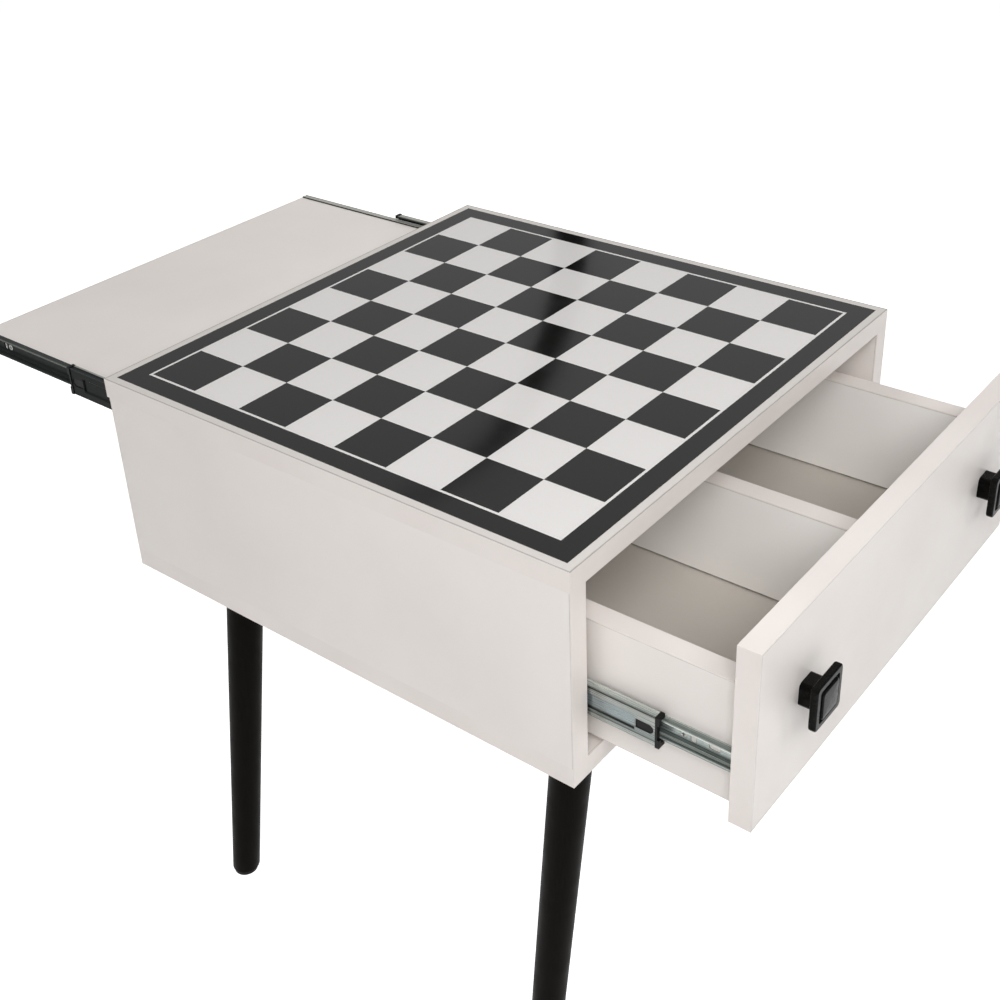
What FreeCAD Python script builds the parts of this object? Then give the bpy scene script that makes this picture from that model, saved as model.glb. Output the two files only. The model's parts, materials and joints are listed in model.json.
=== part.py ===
import FreeCAD, Part
import math
import os
import re

import Sketcher
from FreeCAD import Placement, Rotation, Vector

# A chess table: a white laminate box on four splayed black legs. The board is inlaid in the top,
# a drawer opens at the front (-Y) and a tray pulls out at the rear (+Y), both on ball-bearing
# slides. It stands as photographed, with the drawer and the tray part way out.
# The origin is on the floor, under the middle of the whole model's box, with +Z up.

# Driving dimensions in millimetres, the splay in degrees
SIZES = {
    # Top and box
    "top_width": 500,
    "top_depth": 500,
    "board_thick": 18,
    "overall_height": 575,
    "box_height": 195,
    "side_depth": 497,
    "box_middle": -40,
    "band_thick": 1,
    # Inlaid board
    "square_side": 55,
    "squares": 8,
    "line_width": 2.5,
    "border_side": 484,
    "inlay_thick": 1,
    # Hardboard back
    "back_thick": 3,
    "back_width": 490,
    "back_height": 131,
    "back_lift": 2,
    # Drawer
    "drawer_out": 135,
    "front_gap": 2,
    "wall_top_drop": 60.5,
    "wall_height": 107,
    "wall_length": 420,
    "floor_thick": 3,
    "floor_lift": 10,
    "groove_depth": 6,
    "groove_play": 0.2,
    "floor_gap": 0.8,
    "divider_drop": 4,
    # Tray
    "tray_out": 238,
    "tray_length": 450,
    "tray_top_drop": 28.5,
    # Slides: where they run and how far out their middle members stand
    "slide_gap": 12.7,
    "slide_length": 400,
    "drawer_axis_drop": 125,
    "tray_axis_drop": 35.8,
    "drawer_rail_setback": 20,
    "tray_rail_setback": 1,
    "drawer_middle_out": 80.325,
    "tray_middle_out": 90.44,
    # Slides: bent sheet, with each reach measured out from the side panel
    "rail_sheet": 1,
    "cabinet_rail_height": 35,
    "cabinet_flange_reach": 8.2,
    "cabinet_lip_reach": 9.6,
    "cabinet_lip_drop": 1.6,
    "middle_rail_height": 27,
    "middle_web_reach": 2.5,
    "middle_flange_reach": 8.7,
    "middle_lip_reach": 9.3,
    "middle_lip_drop": 0.9,
    "sunk_band_half": 6,
    "sunk_band_depth": 1.1,
    "inner_rail_height": 17.4,
    "inner_rim_reach": 6,
    "outer_race_reach": 5.1,
    "outer_race_half": 1,
    "outer_race_depth": 0.7,
    "inner_race_reach": 7.9,
    "inner_race_half": 0.7,
    "inner_race_depth": 0.5,
    "race_ramp": 0.8,
    # Slides: latch window, plastic ends and slots
    "flat_end": 17.6,
    "window_inset": 1.6,
    "window_length": 15,
    "window_height": 8,
    "bumper_length": 3.5,
    "bumper_wall": 3.4,
    "bumper_web_reach": 3,
    "bumper_reach": 9,
    "bumper_rise": 12.2,
    "bumper_notch_depth": 1.6,
    "bumper_notch_half": 6.5,
    "tongue_thick": 1.5,
    "tongue_height": 11,
    "slot_width": 4.5,
    "level_slot_length": 9,
    "upright_slot_height": 8,
    # Slides: balls and their cages
    "cage_sheet": 0.4,
    "cage_length": 130,
    "ball_pitch": 22,
    "ball_play": 0.15,
    "outer_ball_radius": 1.5,
    "outer_ball_rise": 14.65,
    "outer_cage_web": 1.5,
    "outer_cage_reach": 8.3,
    "inner_ball_radius": 1.7,
    "inner_ball_rise": 10.35,
    "inner_cage_web": 4.65,
    "inner_cage_reach": 9.9,
    # Legs
    "leg_inset_side": 81,
    "leg_inset_front": 55,
    "leg_splay": 9.3,
    "leg_top_radius": 18.5,
    "leg_foot_radius": 13.8,
    "leg_chamfer": 1.5,
    "plate_side": 60,
    "plate_thick": 2.5,
    "plate_screw_reach": 22,
    "boss_radius": 17,
    "boss_drop": 12,
    "glide_radius": 12,
    "glide_thick": 4,
    # Knobs
    "knob_spread": 161,
    "knob_rise": 3,
    "knob_side": 38,
    "knob_thick": 6,
    "knob_corner": 3,
    "knob_edge": 1,
    "stem_side": 20,
    "stem_length": 12.5,
    "stem_corner": 4,
    "knob_rim": 5,
    "knob_groove": 2.3,
    "knob_groove_depth": 2,
    "knob_pad_rise": 1.5,
    # Fasteners: sizes
    "hole_play": 0.1,
    "rail_screw_head": 3,
    "rail_screw_radius": 1.5,
    "rail_screw_length": 14,
    "panel_screw_head": 5,
    "panel_screw_radius": 3.4,
    "panel_screw_length": 50,
    "wall_screw_head": 4,
    "wall_screw_radius": 2,
    "wall_screw_length": 45,
    "pan_head": 4,
    "pan_shank": 2,
    "pan_thick": 2.2,
    "plate_screw_length": 16,
    "knob_screw_length": 28,
    "dowel_radius": 4,
    "dowel_length": 30,
    "dowel_in_panel": 12,
    "dowel_chamfer": 1,
    "hanger_radius": 4,
    "hanger_tip": 1,
    "hanger_length": 50,
    "hanger_clear": 1.5,
    "nail_radius": 0.7,
    "nail_head": 1.5,
    "nail_head_thick": 0.5,
    "nail_length": 20,
    # Fasteners: places
    "top_dowel_inset": 60,
    "bottom_screw_inset": 50,
    "nail_pitch": 40,
    "nail_spread": 120,
    "wall_fix_upper": 22,
    "wall_fix_lower": 78,
}

# Fasteners along a slide and slots in its inner member, from its open end
CABINET_SCREWS_AT = (38, 200, 362)
INNER_SCREWS_AT = (41, 210, 360)
LEVEL_SLOTS_AT = (16, 190)
UPRIGHT_SLOTS_AT = (33, 340)

# A cross recess, as shares of the screw head's radius
CROSS_REACH = 0.6
CROSS_HALF_WIDTH = 0.12
CROSS_DEPTH = 0.3

# Places that many pieces share, as formulas of the driving dimensions
HALF_TOP = "(top_width / 2)"
FRONT = "(box_middle - top_depth / 2)"
TOP_REAR = "(box_middle + top_depth / 2)"
REAR = f"({FRONT} + side_depth)"
BACK_FACE = f"({REAR} + back_thick)"
UNDER_TOP = "(overall_height - board_thick)"
UNDERSIDE = "(overall_height - box_height)"
OVER_BOTTOM = f"({UNDERSIDE} + board_thick)"
INSIDE = f"({HALF_TOP} - board_thick)"
SIDE_MIDDLE = f"({HALF_TOP} - board_thick / 2)"
CHANNEL = f"({INSIDE} - slide_gap)"
BANDED_FRONT = f"({FRONT} + band_thick)"
INLAY_BED = "(overall_height - inlay_thick)"
CUT_ABOVE = "(overall_height + board_thick)"
GRID = "(square_side * squares / 2)"
LINE_OUTER = f"({GRID} + line_width)"
BORDER_OUTER = "(border_side / 2)"
DRAWER_FACE = f"({FRONT} - drawer_out)"
DRAWER_START = f"({DRAWER_FACE} + board_thick)"
WALL_TOP = "(overall_height - wall_top_drop)"
WALL_CORE_TOP = f"({WALL_TOP} - band_thick)"
WALL_FOOT = f"({WALL_TOP} - wall_height)"
WALL_INNER = f"({CHANNEL} - board_thick)"
WALL_MIDDLE = f"({CHANNEL} - board_thick / 2)"
WALL_END = f"({DRAWER_START} + wall_length)"
BACK_WALL = f"({WALL_END} - board_thick)"
DIVIDER_TOP = f"({WALL_TOP} - divider_drop)"
FLOOR_TOP = f"({WALL_FOOT} + floor_lift)"
FLOOR_UNDER = f"({FLOOR_TOP} - floor_thick)"
FRONT_HALF = f"({INSIDE} - front_gap)"
FRONT_LOW = f"({OVER_BOTTOM} + front_gap)"
FRONT_HIGH = f"({UNDER_TOP} - front_gap)"
KNOB_HEIGHT = f"(({FRONT_LOW} + {FRONT_HIGH}) / 2 + knob_rise)"
TRAY_END = f"({REAR} + tray_out)"
TRAY_START = f"({TRAY_END} - tray_length)"
TRAY_TOP = "(overall_height - tray_top_drop)"
TRAY_UNDER = f"({TRAY_TOP} - board_thick)"
PAD_SIDE = "(knob_side - 2 * knob_rim - 2 * knob_groove)"

# Turns that point a fastener's head, drawn facing +Z, another way
HEAD_UP = Rotation()
HEAD_DOWN = Rotation(Vector(1, 0, 0), 180)
HEAD_LEFT = Rotation(Vector(0, 1, 0), -90)
HEAD_RIGHT = Rotation(Vector(0, 1, 0), 90)
HEAD_FRONT = Rotation(Vector(1, 0, 0), 90)
HEAD_REAR = Rotation(Vector(1, 0, 0), -90)

# A slide is drawn once: X out from the side panel, Y from its open end inwards, Z up.
# Each of the four slides is that drawing, given half a turn where it faces another way.
SLIDE_TURNS = {
    ("drawer", "left"): Rotation(),
    ("drawer", "right"): Rotation(Vector(0, 1, 0), 180),
    ("tray", "left"): Rotation(Vector(1, 0, 0), 180),
    ("tray", "right"): Rotation(Vector(0, 0, 1), 180),
}
UNITS = ("drawer", "tray")
SIDES = {"left": -1, "right": 1}
ENDS = {"front": -1, "rear": 1}

doc = FreeCAD.newDocument("chess_table")
sheet = doc.addObject("Spreadsheet::Sheet", "Sizes")
for row, (alias, number) in enumerate(SIZES.items(), 1):
    sheet.set(f"A{row}", alias)
    sheet.set(f"B{row}", str(number))
    sheet.setAlias(f"B{row}", alias)
doc.recompute()

nodes = []


def size(alias):
    """The number in one cell of the sheet."""
    return float(getattr(sheet, alias))


PLAY = size("hole_play")


def bind(item, prop, text):
    """Bind a property to a formula whose words are cells of the sheet."""
    def cell(word):
        return "Sizes." + word.group() if word.group() in SIZES else word.group()
    item.setExpression(prop, re.sub(r"[a-z_]+", cell, text))


def place(item, x, y, z, turn=HEAD_UP):
    """Stand an object at a place given by three formulas, after a turn."""
    item.Placement = Placement(Vector(), turn)
    for axis, text in zip("xyz", (x, y, z)):
        bind(item, f"Placement.Base.{axis}", text)
    return item


def keep(item, label):
    """Name an object as a finished piece of the table."""
    item.Label = label
    nodes.append(item)


def block(x, y, z, name="block"):
    """A square-edged block between a low and a high formula on each axis."""
    item = doc.addObject("Part::Box", name)
    for prop, (low, high) in zip(("Length", "Width", "Height"), (x, y, z)):
        bind(item, prop, f"({high}) - ({low})")
    return place(item, x[0], y[0], z[0])


def rod(radius, length, x, y, z, turn=HEAD_UP, name="rod"):
    """A round rod along its turned Z axis."""
    item = doc.addObject("Part::Cylinder", name)
    bind(item, "Radius", radius)
    bind(item, "Height", length)
    return place(item, x, y, z, turn)


def ball(radius, x, y, z):
    """A round ball."""
    item = doc.addObject("Part::Sphere", "ball")
    bind(item, "Radius", radius)
    return place(item, x, y, z)


def group(items, name="group"):
    """Several separate solids under one name."""
    item = doc.addObject("Part::Compound", name)
    item.Links = list(items)
    return item


def copies(pattern, spots):
    """One copy of a drawn piece at each spot, a spot being x, y, z and a turn."""
    made = []
    for x, y, z, turn in spots:
        item = doc.addObject("App::Link", pattern.Name + "_copy")
        item.LinkedObject = pattern
        made.append(place(item, x, y, z, turn))
    return made


def cut(base, tools, name="bored"):
    """A solid with every tool taken out of it."""
    item = doc.addObject("Part::Cut", name)
    item.Base = base
    item.Tool = group(tools, "tools")
    return item


def fuse(items, name="fused"):
    """Several solids made one."""
    item = doc.addObject("Part::MultiFuse", name)
    item.Shapes = list(items)
    return item


def both_ways(half):
    """The span from minus to plus a half width."""
    return (f"-({half})", f"({half})")


def about(middle, half):
    """The span of a half width to each side of a middle."""
    return (f"({middle} - {half})", f"({middle} + {half})")


def sketch_on(body, role, name, lift=None):
    """An empty sketch on one of a body's origin planes, lifted off it by a formula."""
    sketch = body.newObject("Sketcher::SketchObject", name)
    plane = next(plane for plane in body.Origin.OriginFeatures if plane.Role == role)
    sketch.AttachmentSupport = (plane, [""])
    sketch.MapMode = "FlatFace"
    if lift:
        bind(sketch, "AttachmentOffset.Base.z", lift)
    return sketch


def outline(sketch, points):
    """A closed outline of straight lines through the points."""
    first = sketch.GeometryCount
    count = len(points)
    for start, end in zip(points, points[1:] + points[:1]):
        sketch.addGeometry(Part.LineSegment(Vector(*start, 0), Vector(*end, 0)))
    for number in range(count):
        following = first + (number + 1) % count
        sketch.addConstraint(Sketcher.Constraint("Coincident", first + number, 2, following, 1))


def square_outline(sketch, side, name):
    """A square centred on the sketch's origin, its side bound to a formula."""
    first = sketch.GeometryCount
    half = size("square_side") / 2
    outline(sketch, [(-half, -half), (half, -half), (half, half), (-half, half)])
    for number, way in enumerate(("Horizontal", "Vertical", "Horizontal", "Vertical")):
        sketch.addConstraint(Sketcher.Constraint(way, first + number))
    sketch.addConstraint(Sketcher.Constraint("Symmetric", first, 1, first + 1, 2, -1, 1))
    sketch.addConstraint(Sketcher.Constraint("Equal", first, first + 1))
    number = sketch.addConstraint(Sketcher.Constraint("DistanceX", first, 1, first, 2, 2 * half))
    sketch.renameConstraint(number, name)
    bind(sketch, f"Constraints.{name}", side)


def turned(name, points):
    """A solid of revolution about Z, from a half section of (radius, height) points."""
    body = doc.addObject("PartDesign::Body", name)
    sketch = sketch_on(body, "XZ_Plane", name + "_section")
    outline(sketch, points)
    revolution = body.newObject("PartDesign::Revolution", name + "_turning")
    revolution.Profile = sketch
    revolution.ReferenceAxis = (sketch, ["V_Axis"])
    revolution.Angle = 360
    return body


def padded(body, sketch, length, name, backwards=False):
    """A sketch carried straight out by a formula's length."""
    pad = body.newObject("PartDesign::Pad", name)
    pad.Profile = sketch
    bind(pad, "Length", length)
    pad.Reversed = backwards
    return pad


def rounded(body, feature, radius, chosen, name):
    """Round the edges of a body's latest feature that pass a test."""
    doc.recompute()
    edges = [f"Edge{number}" for number, edge in enumerate(feature.Shape.Edges, 1) if chosen(edge)]
    fillet = body.newObject("PartDesign::Fillet", name)
    fillet.Base = (feature, edges)
    bind(fillet, "Radius", radius)
    return fillet


# Fasteners: each is drawn once with its head facing +Z at the origin


def countersunk(name, kind, play=0.0):
    """A countersunk screw, or with some play the hole that it fits."""
    head = size(f"{kind}_head") + play
    shank = size(f"{kind}_radius") + play
    length = size(f"{kind}_length") + play
    return turned(name, [(0, 0), (head, 0), (shank, shank - head), (shank, -length), (0, -length)])


def cross_headed(kind):
    """A countersunk screw with a cross cut into its head."""
    head = size(f"{kind}_head")
    long, short = CROSS_REACH * head, CROSS_HALF_WIDTH * head
    cross = doc.addObject("PartDesign::Body", kind + "_cross")
    for number, (x, y) in enumerate(((long, short), (short, long))):
        sketch = sketch_on(cross, "XY_Plane", f"{kind}_slot_{number}")
        outline(sketch, [(-x, -y), (x, -y), (x, y), (-x, y)])
        padded(cross, sketch, f"{kind}_head * {CROSS_DEPTH}", f"{kind}_slot_depth_{number}", backwards=True)
    return cut(countersunk(kind + "_blank", kind), [cross], kind)


def headed_pin(name, head, thick, shank, length):
    """A pin with a flat-bearing head standing above its origin plane."""
    return turned(name, [(0, thick), (head, thick), (head, 0), (shank, 0), (shank, -length), (0, -length)])


def plain_hole(name, radius, length):
    """A straight hole down from the origin plane, open above it."""
    return turned(name, [(0, length), (radius, length), (radius, -length), (0, -length)])


def dowel(name, play=0.0):
    """A beech dowel with chamfered ends, standing on the origin plane, or the hole that it fits."""
    radius = size("dowel_radius") + play
    length = size("dowel_length")
    bevel = size("dowel_chamfer")
    return turned(name, [
        (0, 0), (radius - bevel, 0), (radius, bevel),
        (radius, length - bevel), (radius - bevel, length), (0, length),
    ])


def hanger_bolt():
    """A leg's threaded stud, from just under the box down into the leg."""
    radius, tip = size("hanger_radius"), size("hanger_tip")
    start = size("hanger_clear")
    end = start + size("hanger_length")
    return turned("hanger", [
        (0, -start), (radius, -start), (radius, tip - end), (radius - tip, -end), (0, -end),
    ])


rail_screw = cross_headed("rail_screw")
rail_screw_hole = countersunk("rail_screw_hole", "rail_screw", PLAY)
panel_screw = cross_headed("panel_screw")
panel_screw_hole = countersunk("panel_screw_hole", "panel_screw", PLAY)
wall_screw = cross_headed("wall_screw")
wall_screw_hole = countersunk("wall_screw_hole", "wall_screw", PLAY)
PAN = size("pan_head"), size("pan_thick"), size("pan_shank")
plate_screw = headed_pin("plate_screw", *PAN, size("plate_screw_length"))
plate_screw_hole = plain_hole("plate_screw_hole", size("pan_shank") + PLAY, size("plate_screw_length") + PLAY)
knob_screw = headed_pin("knob_screw", *PAN, size("knob_screw_length"))
knob_screw_hole = plain_hole("knob_screw_hole", size("pan_shank") + PLAY, size("knob_screw_length") + PLAY)
NAIL = size("nail_head"), size("nail_head_thick"), size("nail_radius")
nail = headed_pin("nail", *NAIL, size("nail_length"))
nail_hole = plain_hole("nail_hole", size("nail_radius") + PLAY, size("nail_length") + PLAY)
dowel_pin = dowel("dowel_pin")
dowel_hole = dowel("dowel_hole", PLAY)
hanger = hanger_bolt()
hanger_hole = plain_hole("hanger_hole", size("hanger_radius") + PLAY, size("boss_drop") * 2)

# Slides: the members' sections are middle lines of bent sheet in (reach, height), upper half first


def sheet_section(upper_half, thickness):
    """The outline of bent sheet: its middle line, mirrored below, moved half a thickness each way."""
    middle = upper_half + [(reach, -height) for reach, height in reversed(upper_half)]
    line = [Vector(*point, 0) for point in middle]
    left, right = [], []
    for number, corner in enumerate(line):
        before = line[max(number - 1, 0)]
        after = line[min(number + 1, len(line) - 1)]
        runs = [run.normalize() for run in (corner - before, after - corner) if run.Length > 0]
        normals = [Vector(-run.y, run.x, 0) for run in runs]
        mitre = sum(normals, Vector()).normalize()
        step = mitre * (thickness / 2 / mitre.dot(normals[0]))
        left.append(corner + step)
        right.append(corner - step)
    return [(point.x, point.y) for point in left + right[::-1]]


def rolled(name, stretches):
    """A channel of bent sheet along +Y: each stretch is a section, its start and its length."""
    body = doc.addObject("PartDesign::Body", name)
    for number, (section, start, length) in enumerate(stretches):
        sketch = sketch_on(body, "XZ_Plane", f"{name}_section_{number}", f"-({start})")
        outline(sketch, section)
        padded(body, sketch, length, f"{name}_run_{number}", backwards=True)
    return body


def flange_line(kind):
    """The height of a member's flange, at the middle of its sheet."""
    return (size(f"{kind}_rail_height") - size("rail_sheet")) / 2


def race(kind, flange):
    """A ball race pressed into a flange, from its far ramp to its near one."""
    reach, half = size(f"{kind}_race_reach"), size(f"{kind}_race_half")
    wide = half + size("race_ramp")
    low = flange - size(f"{kind}_race_depth")
    return [(reach + wide, flange), (reach + half, low), (reach - half, low), (reach - wide, flange)]


def cabinet_section():
    """The member on the side panel: a wide channel whose lips hold the outer balls."""
    flange = flange_line("cabinet")
    lip = (size("cabinet_lip_reach"), flange - size("cabinet_lip_drop"))
    web = size("rail_sheet") / 2
    return sheet_section([lip, (size("cabinet_flange_reach"), flange), (web, flange)], size("rail_sheet"))


def middle_section(sunk):
    """The middle member: lips, ball races, and where it is sunk a band along its web."""
    flange = flange_line("middle")
    web = size("middle_web_reach")
    lip = (size("middle_lip_reach"), flange - size("middle_lip_drop"))
    line = [lip, (size("middle_flange_reach"), flange), *race("outer", flange), (web, flange)]
    if sunk:
        band, depth = size("sunk_band_half"), size("sunk_band_depth")
        line += [(web, band + depth), (web + depth, band)]
    return sheet_section(line, size("rail_sheet"))


def inner_section():
    """The member on the drawer or the tray: a narrow channel open towards the side panel."""
    flange = flange_line("inner")
    web = size("slide_gap") - size("rail_sheet") / 2
    line = [(size("inner_rim_reach"), flange), *reversed(race("inner", flange)), (web, flange)]
    return sheet_section(line, size("rail_sheet"))


def slot_cutter(name, length):
    """A round-ended slot along Y through a member's web, drawn about its middle."""
    body = doc.addObject("PartDesign::Body", name)
    sketch = sketch_on(body, "YZ_Plane", name + "_outline")
    radius = size("slot_width") / 2
    run = size(length) / 2 - radius
    for way, start in ((1, -math.pi / 2), (-1, math.pi / 2)):
        side = Part.LineSegment(Vector(-way * run, -way * radius, 0), Vector(way * run, -way * radius, 0))
        end = Part.Circle(Vector(way * run, 0, 0), Vector(0, 0, 1), radius)
        sketch.addGeometry(side)
        sketch.addGeometry(Part.ArcOfCircle(end, start, start + math.pi))
    count = sketch.GeometryCount
    for number in range(count):
        sketch.addConstraint(Sketcher.Constraint("Coincident", number, 2, (number + 1) % count, 1))
    padded(body, sketch, "rail_sheet * 3", name + "_depth")
    return body


def latch_shape(x, play, name):
    """The latch window along X: round towards the open end and square inwards, less a play all round."""
    radius = f"(window_height / 2 - {play})"
    middle = "(bumper_length + window_inset + window_height / 2)"
    inner_end = f"(bumper_length + window_inset + window_length - {play})"
    straight = block(x, (middle, inner_end), both_ways(radius), name + "_straight")
    round_end = rod(radius, f"({x[1]}) - ({x[0]})", x[0], middle, "0", HEAD_RIGHT, name + "_end")
    return fuse([straight, round_end], name)


def middle_member():
    """The middle member: its sunk band stops short of a flat end with a latch window."""
    sunk_from = "(bumper_length + flat_end)"
    channel = rolled("middle_channel", [
        (middle_section(False), "bumper_length", "flat_end"),
        (middle_section(True), sunk_from, f"slide_length - {sunk_from}"),
    ])
    window = latch_shape(about("middle_web_reach", "rail_sheet"), "0", "window")
    return cut(channel, [window], "middle_rail")


def plastic_end():
    """The middle member's plastic end: a notched frame at its open end and a tongue that fills the window."""
    frame_section = sheet_section(
        [(size("bumper_reach"), size("bumper_rise")), (size("bumper_web_reach"), size("bumper_rise"))],
        size("bumper_wall"),
    )
    frame = rolled("bumper_frame", [(frame_section, "0", "bumper_length")])
    notch_y = ("-bumper_length", "bumper_notch_depth")
    notch = block(("0", "bumper_reach"), notch_y, both_ways("bumper_notch_half"), "notch")
    web_back = "(middle_web_reach + rail_sheet / 2)"
    tongue_x = (web_back, f"({web_back} + tongue_thick)")
    tongue_y = ("bumper_notch_depth", "bumper_length + flat_end")
    tongue = block(tongue_x, tongue_y, both_ways("tongue_height / 2"), "tongue")
    plug = latch_shape(("middle_web_reach", web_back), "hole_play", "plug")
    return fuse([cut(frame, [notch], "notched_frame"), tongue, plug], "bumper")


def ball_retainer(kind):
    """A thin folded cage between two members, with a row of balls along each flange."""
    rise, reach, radius = f"{kind}_ball_rise", f"{kind}_race_reach", f"{kind}_ball_radius"
    folds = [(size(f"{kind}_cage_reach"), size(rise)), (size(f"{kind}_cage_web"), size(rise))]
    section = sheet_section(folds, size("cage_sheet"))
    blank = rolled(f"{kind}_cage_blank", [(section, "0", "cage_length")])
    balls_in_row = int(size("cage_length") // size("ball_pitch"))
    first = f"(cage_length - ball_pitch * {balls_in_row - 1}) / 2"
    along = [f"{first} + ball_pitch * {number}" for number in range(balls_in_row)]
    spots = [(reach, y, f"{way}{rise}") for y in along for way in "+-"]
    pockets = [ball(f"{radius} + ball_play", *spot) for spot in spots]
    cage = cut(blank, pockets, f"{kind}_cage")
    return group([cage, *(ball(radius, *spot) for spot in spots)], f"{kind}_retainer")


cabinet_spots = [("rail_sheet", f"{y}", "0", HEAD_RIGHT) for y in CABINET_SCREWS_AT]
cabinet_screw_row = group(copies(rail_screw, cabinet_spots), "cabinet_screw_row")
cabinet_hole_row = group(copies(rail_screw_hole, cabinet_spots), "cabinet_hole_row")
inner_spots = [("slide_gap - rail_sheet", f"{y}", "0", HEAD_LEFT) for y in INNER_SCREWS_AT]
inner_screw_row = group(copies(rail_screw, inner_spots), "inner_screw_row")
inner_hole_row = group(copies(rail_screw_hole, inner_spots), "inner_hole_row")

cabinet_channel = rolled("cabinet_channel", [(cabinet_section(), "0", "slide_length")])
cabinet_rail = cut(cabinet_channel, [cabinet_hole_row], "cabinet_rail")
middle_rail = middle_member()
bumper = plastic_end()
inner_channel = rolled("inner_channel", [(inner_section(), "0", "slide_length")])
SLOT_FROM = "slide_gap - rail_sheet * 2"
level_slot = slot_cutter("level_slot", "level_slot_length")
upright_slot = slot_cutter("upright_slot", "upright_slot_height")
inner_slots = copies(level_slot, [(SLOT_FROM, f"{y}", "0", HEAD_UP) for y in LEVEL_SLOTS_AT])
inner_slots += copies(upright_slot, [(SLOT_FROM, f"{y}", "0", HEAD_FRONT) for y in UPRIGHT_SLOTS_AT])
inner_rail = cut(inner_channel, [inner_hole_row, *inner_slots], "inner_rail")
outer_retainer = ball_retainer("outer")
inner_retainer = ball_retainer("inner")


def on_slide(pattern, unit, side, travel, inward="0"):
    """A copy of a slide's piece on one side of the drawer or the tray, moved out by its travel."""
    if unit == "drawer":
        y = f"{FRONT} + drawer_rail_setback + {inward} - ({travel})"
    else:
        y = f"{REAR} - tray_rail_setback - {inward} + ({travel})"
    spot = (f"{SIDES[side]} * {INSIDE}", y, f"overall_height - {unit}_axis_drop", SLIDE_TURNS[unit, side])
    return copies(pattern, [spot])[0]


def both_sides(pattern, unit, travel, inward="0"):
    """A slide's piece on both sides of the drawer or the tray."""
    return [on_slide(pattern, unit, side, travel, inward) for side in SIDES]


def make_slides(unit):
    """A pair of slides: each rail is a piece, and small pieces that move together are grouped."""
    out, middle_out = f"{unit}_out", f"{unit}_middle_out"
    cage_home = "(slide_length - cage_length) / 2"
    for side in SIDES:
        keep(on_slide(cabinet_rail, unit, side, "0"), f"{unit}_cabinet_rail_{side}")
        keep(on_slide(middle_rail, unit, side, middle_out), f"{unit}_middle_rail_{side}")
        keep(on_slide(inner_rail, unit, side, out), f"{unit}_inner_rail_{side}")
    keep(group(both_sides(bumper, unit, middle_out)), f"{unit}_rail_bumpers")
    keep(group(both_sides(inner_screw_row, unit, out)), f"{unit}_rail_screws")
    outer_travel, inner_travel = f"{middle_out} / 2", f"({middle_out} + {out}) / 2"
    keep(group(both_sides(outer_retainer, unit, outer_travel, cage_home)), f"{unit}_outer_ball_retainers")
    keep(group(both_sides(inner_retainer, unit, inner_travel, cage_home)), f"{unit}_inner_ball_retainers")


for unit in UNITS:
    make_slides(unit)
cabinet_rows = [row for unit in UNITS for row in both_sides(cabinet_screw_row, unit, "0")]
keep(group(cabinet_rows), "cabinet_rail_screws")

# Top, with its edge bands and a shallow bed for the inlay

TOP_DOWEL_ROWS = (f"{FRONT} + top_dowel_inset", "box_middle", f"{REAR} - top_dowel_inset")
top_dowel_spots = [
    (f"{way} * {SIDE_MIDDLE}", y, f"{UNDER_TOP} + dowel_in_panel - dowel_length", HEAD_UP)
    for way in SIDES.values() for y in TOP_DOWEL_ROWS
]
top_z = (UNDER_TOP, "overall_height")


def square_slab(half, low, high, name="slab"):
    """A square slab centred under the top, between two heights."""
    return block(both_ways(half), about("box_middle", half), (low, high), name)


def level_bands(y, z, ends):
    """Edge bands on a level panel's two sides, and at its front or rear, over the corners."""
    x = both_ways(HALF_TOP)
    inner = (f"({y[0]} + band_thick)", f"({y[1]} - band_thick)" if "rear" in ends else y[1])
    bands = [
        block((x[0], f"({x[0]} + band_thick)"), inner, z, "band"),
        block((f"({x[1]} - band_thick)", x[1]), inner, z, "band"),
        block(x, (y[0], inner[0]), z, "band"),
    ]
    if "rear" in ends:
        bands.append(block(x, (inner[1], y[1]), z, "band"))
    return bands


top_core = square_slab(f"({HALF_TOP} - band_thick)", *top_z, "top_core")
inlay_bed = square_slab(BORDER_OUTER, INLAY_BED, CUT_ABOVE, "inlay_bed")
keep(cut(top_core, [inlay_bed, *copies(dowel_hole, top_dowel_spots)]), "top_panel")
keep(group(level_bands((FRONT, TOP_REAR), top_z, ("front", "rear"))), "top_edge_bands")
keep(group(copies(dowel_pin, top_dowel_spots)), "top_dowels")

# Inlaid board: squares, a thin white line round them and a black border


def inlay_square(column, line):
    """One inlaid square, counted from the front left corner."""
    x = f"(square_side * {column} - {GRID})"
    y = f"(box_middle + square_side * {line} - {GRID})"
    span_x, span_y = (x, f"({x} + square_side)"), (y, f"({y} + square_side)")
    return block(span_x, span_y, (INLAY_BED, "overall_height"), "square")


def inlay_frame(outer, inner):
    """A square frame of inlay between two half widths."""
    return cut(square_slab(outer, INLAY_BED, "overall_height"), [square_slab(inner, INLAY_BED, CUT_ABOVE)])


count = int(size("squares"))
grid = [(column, line) for column in range(count) for line in range(count)]
keep(group(inlay_square(*spot) for spot in grid if sum(spot) % 2 == 0), "board_light_squares")
keep(group(inlay_square(*spot) for spot in grid if sum(spot) % 2 == 1), "board_dark_squares")
keep(inlay_frame(LINE_OUTER, GRID), "board_line")
keep(inlay_frame(BORDER_OUTER, LINE_OUTER), "board_border")

# Where each leg's axis meets the box, with its plate's four screws

leg_x = {side: f"({way} * ({HALF_TOP} - leg_inset_side))" for side, way in SIDES.items()}
leg_y = {end: f"(box_middle + {way} * (top_depth / 2 - leg_inset_front))" for end, way in ENDS.items()}
plate_screw_spots = {
    (side, end): [
        (f"{x} {a} plate_screw_reach", f"{y} {b} plate_screw_reach", f"{UNDERSIDE} - plate_thick", HEAD_DOWN)
        for a in "+-" for b in "+-"
    ]
    for side, x in leg_x.items() for end, y in leg_y.items()
}
all_plate_screws = [spot for spots in plate_screw_spots.values() for spot in spots]

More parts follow.
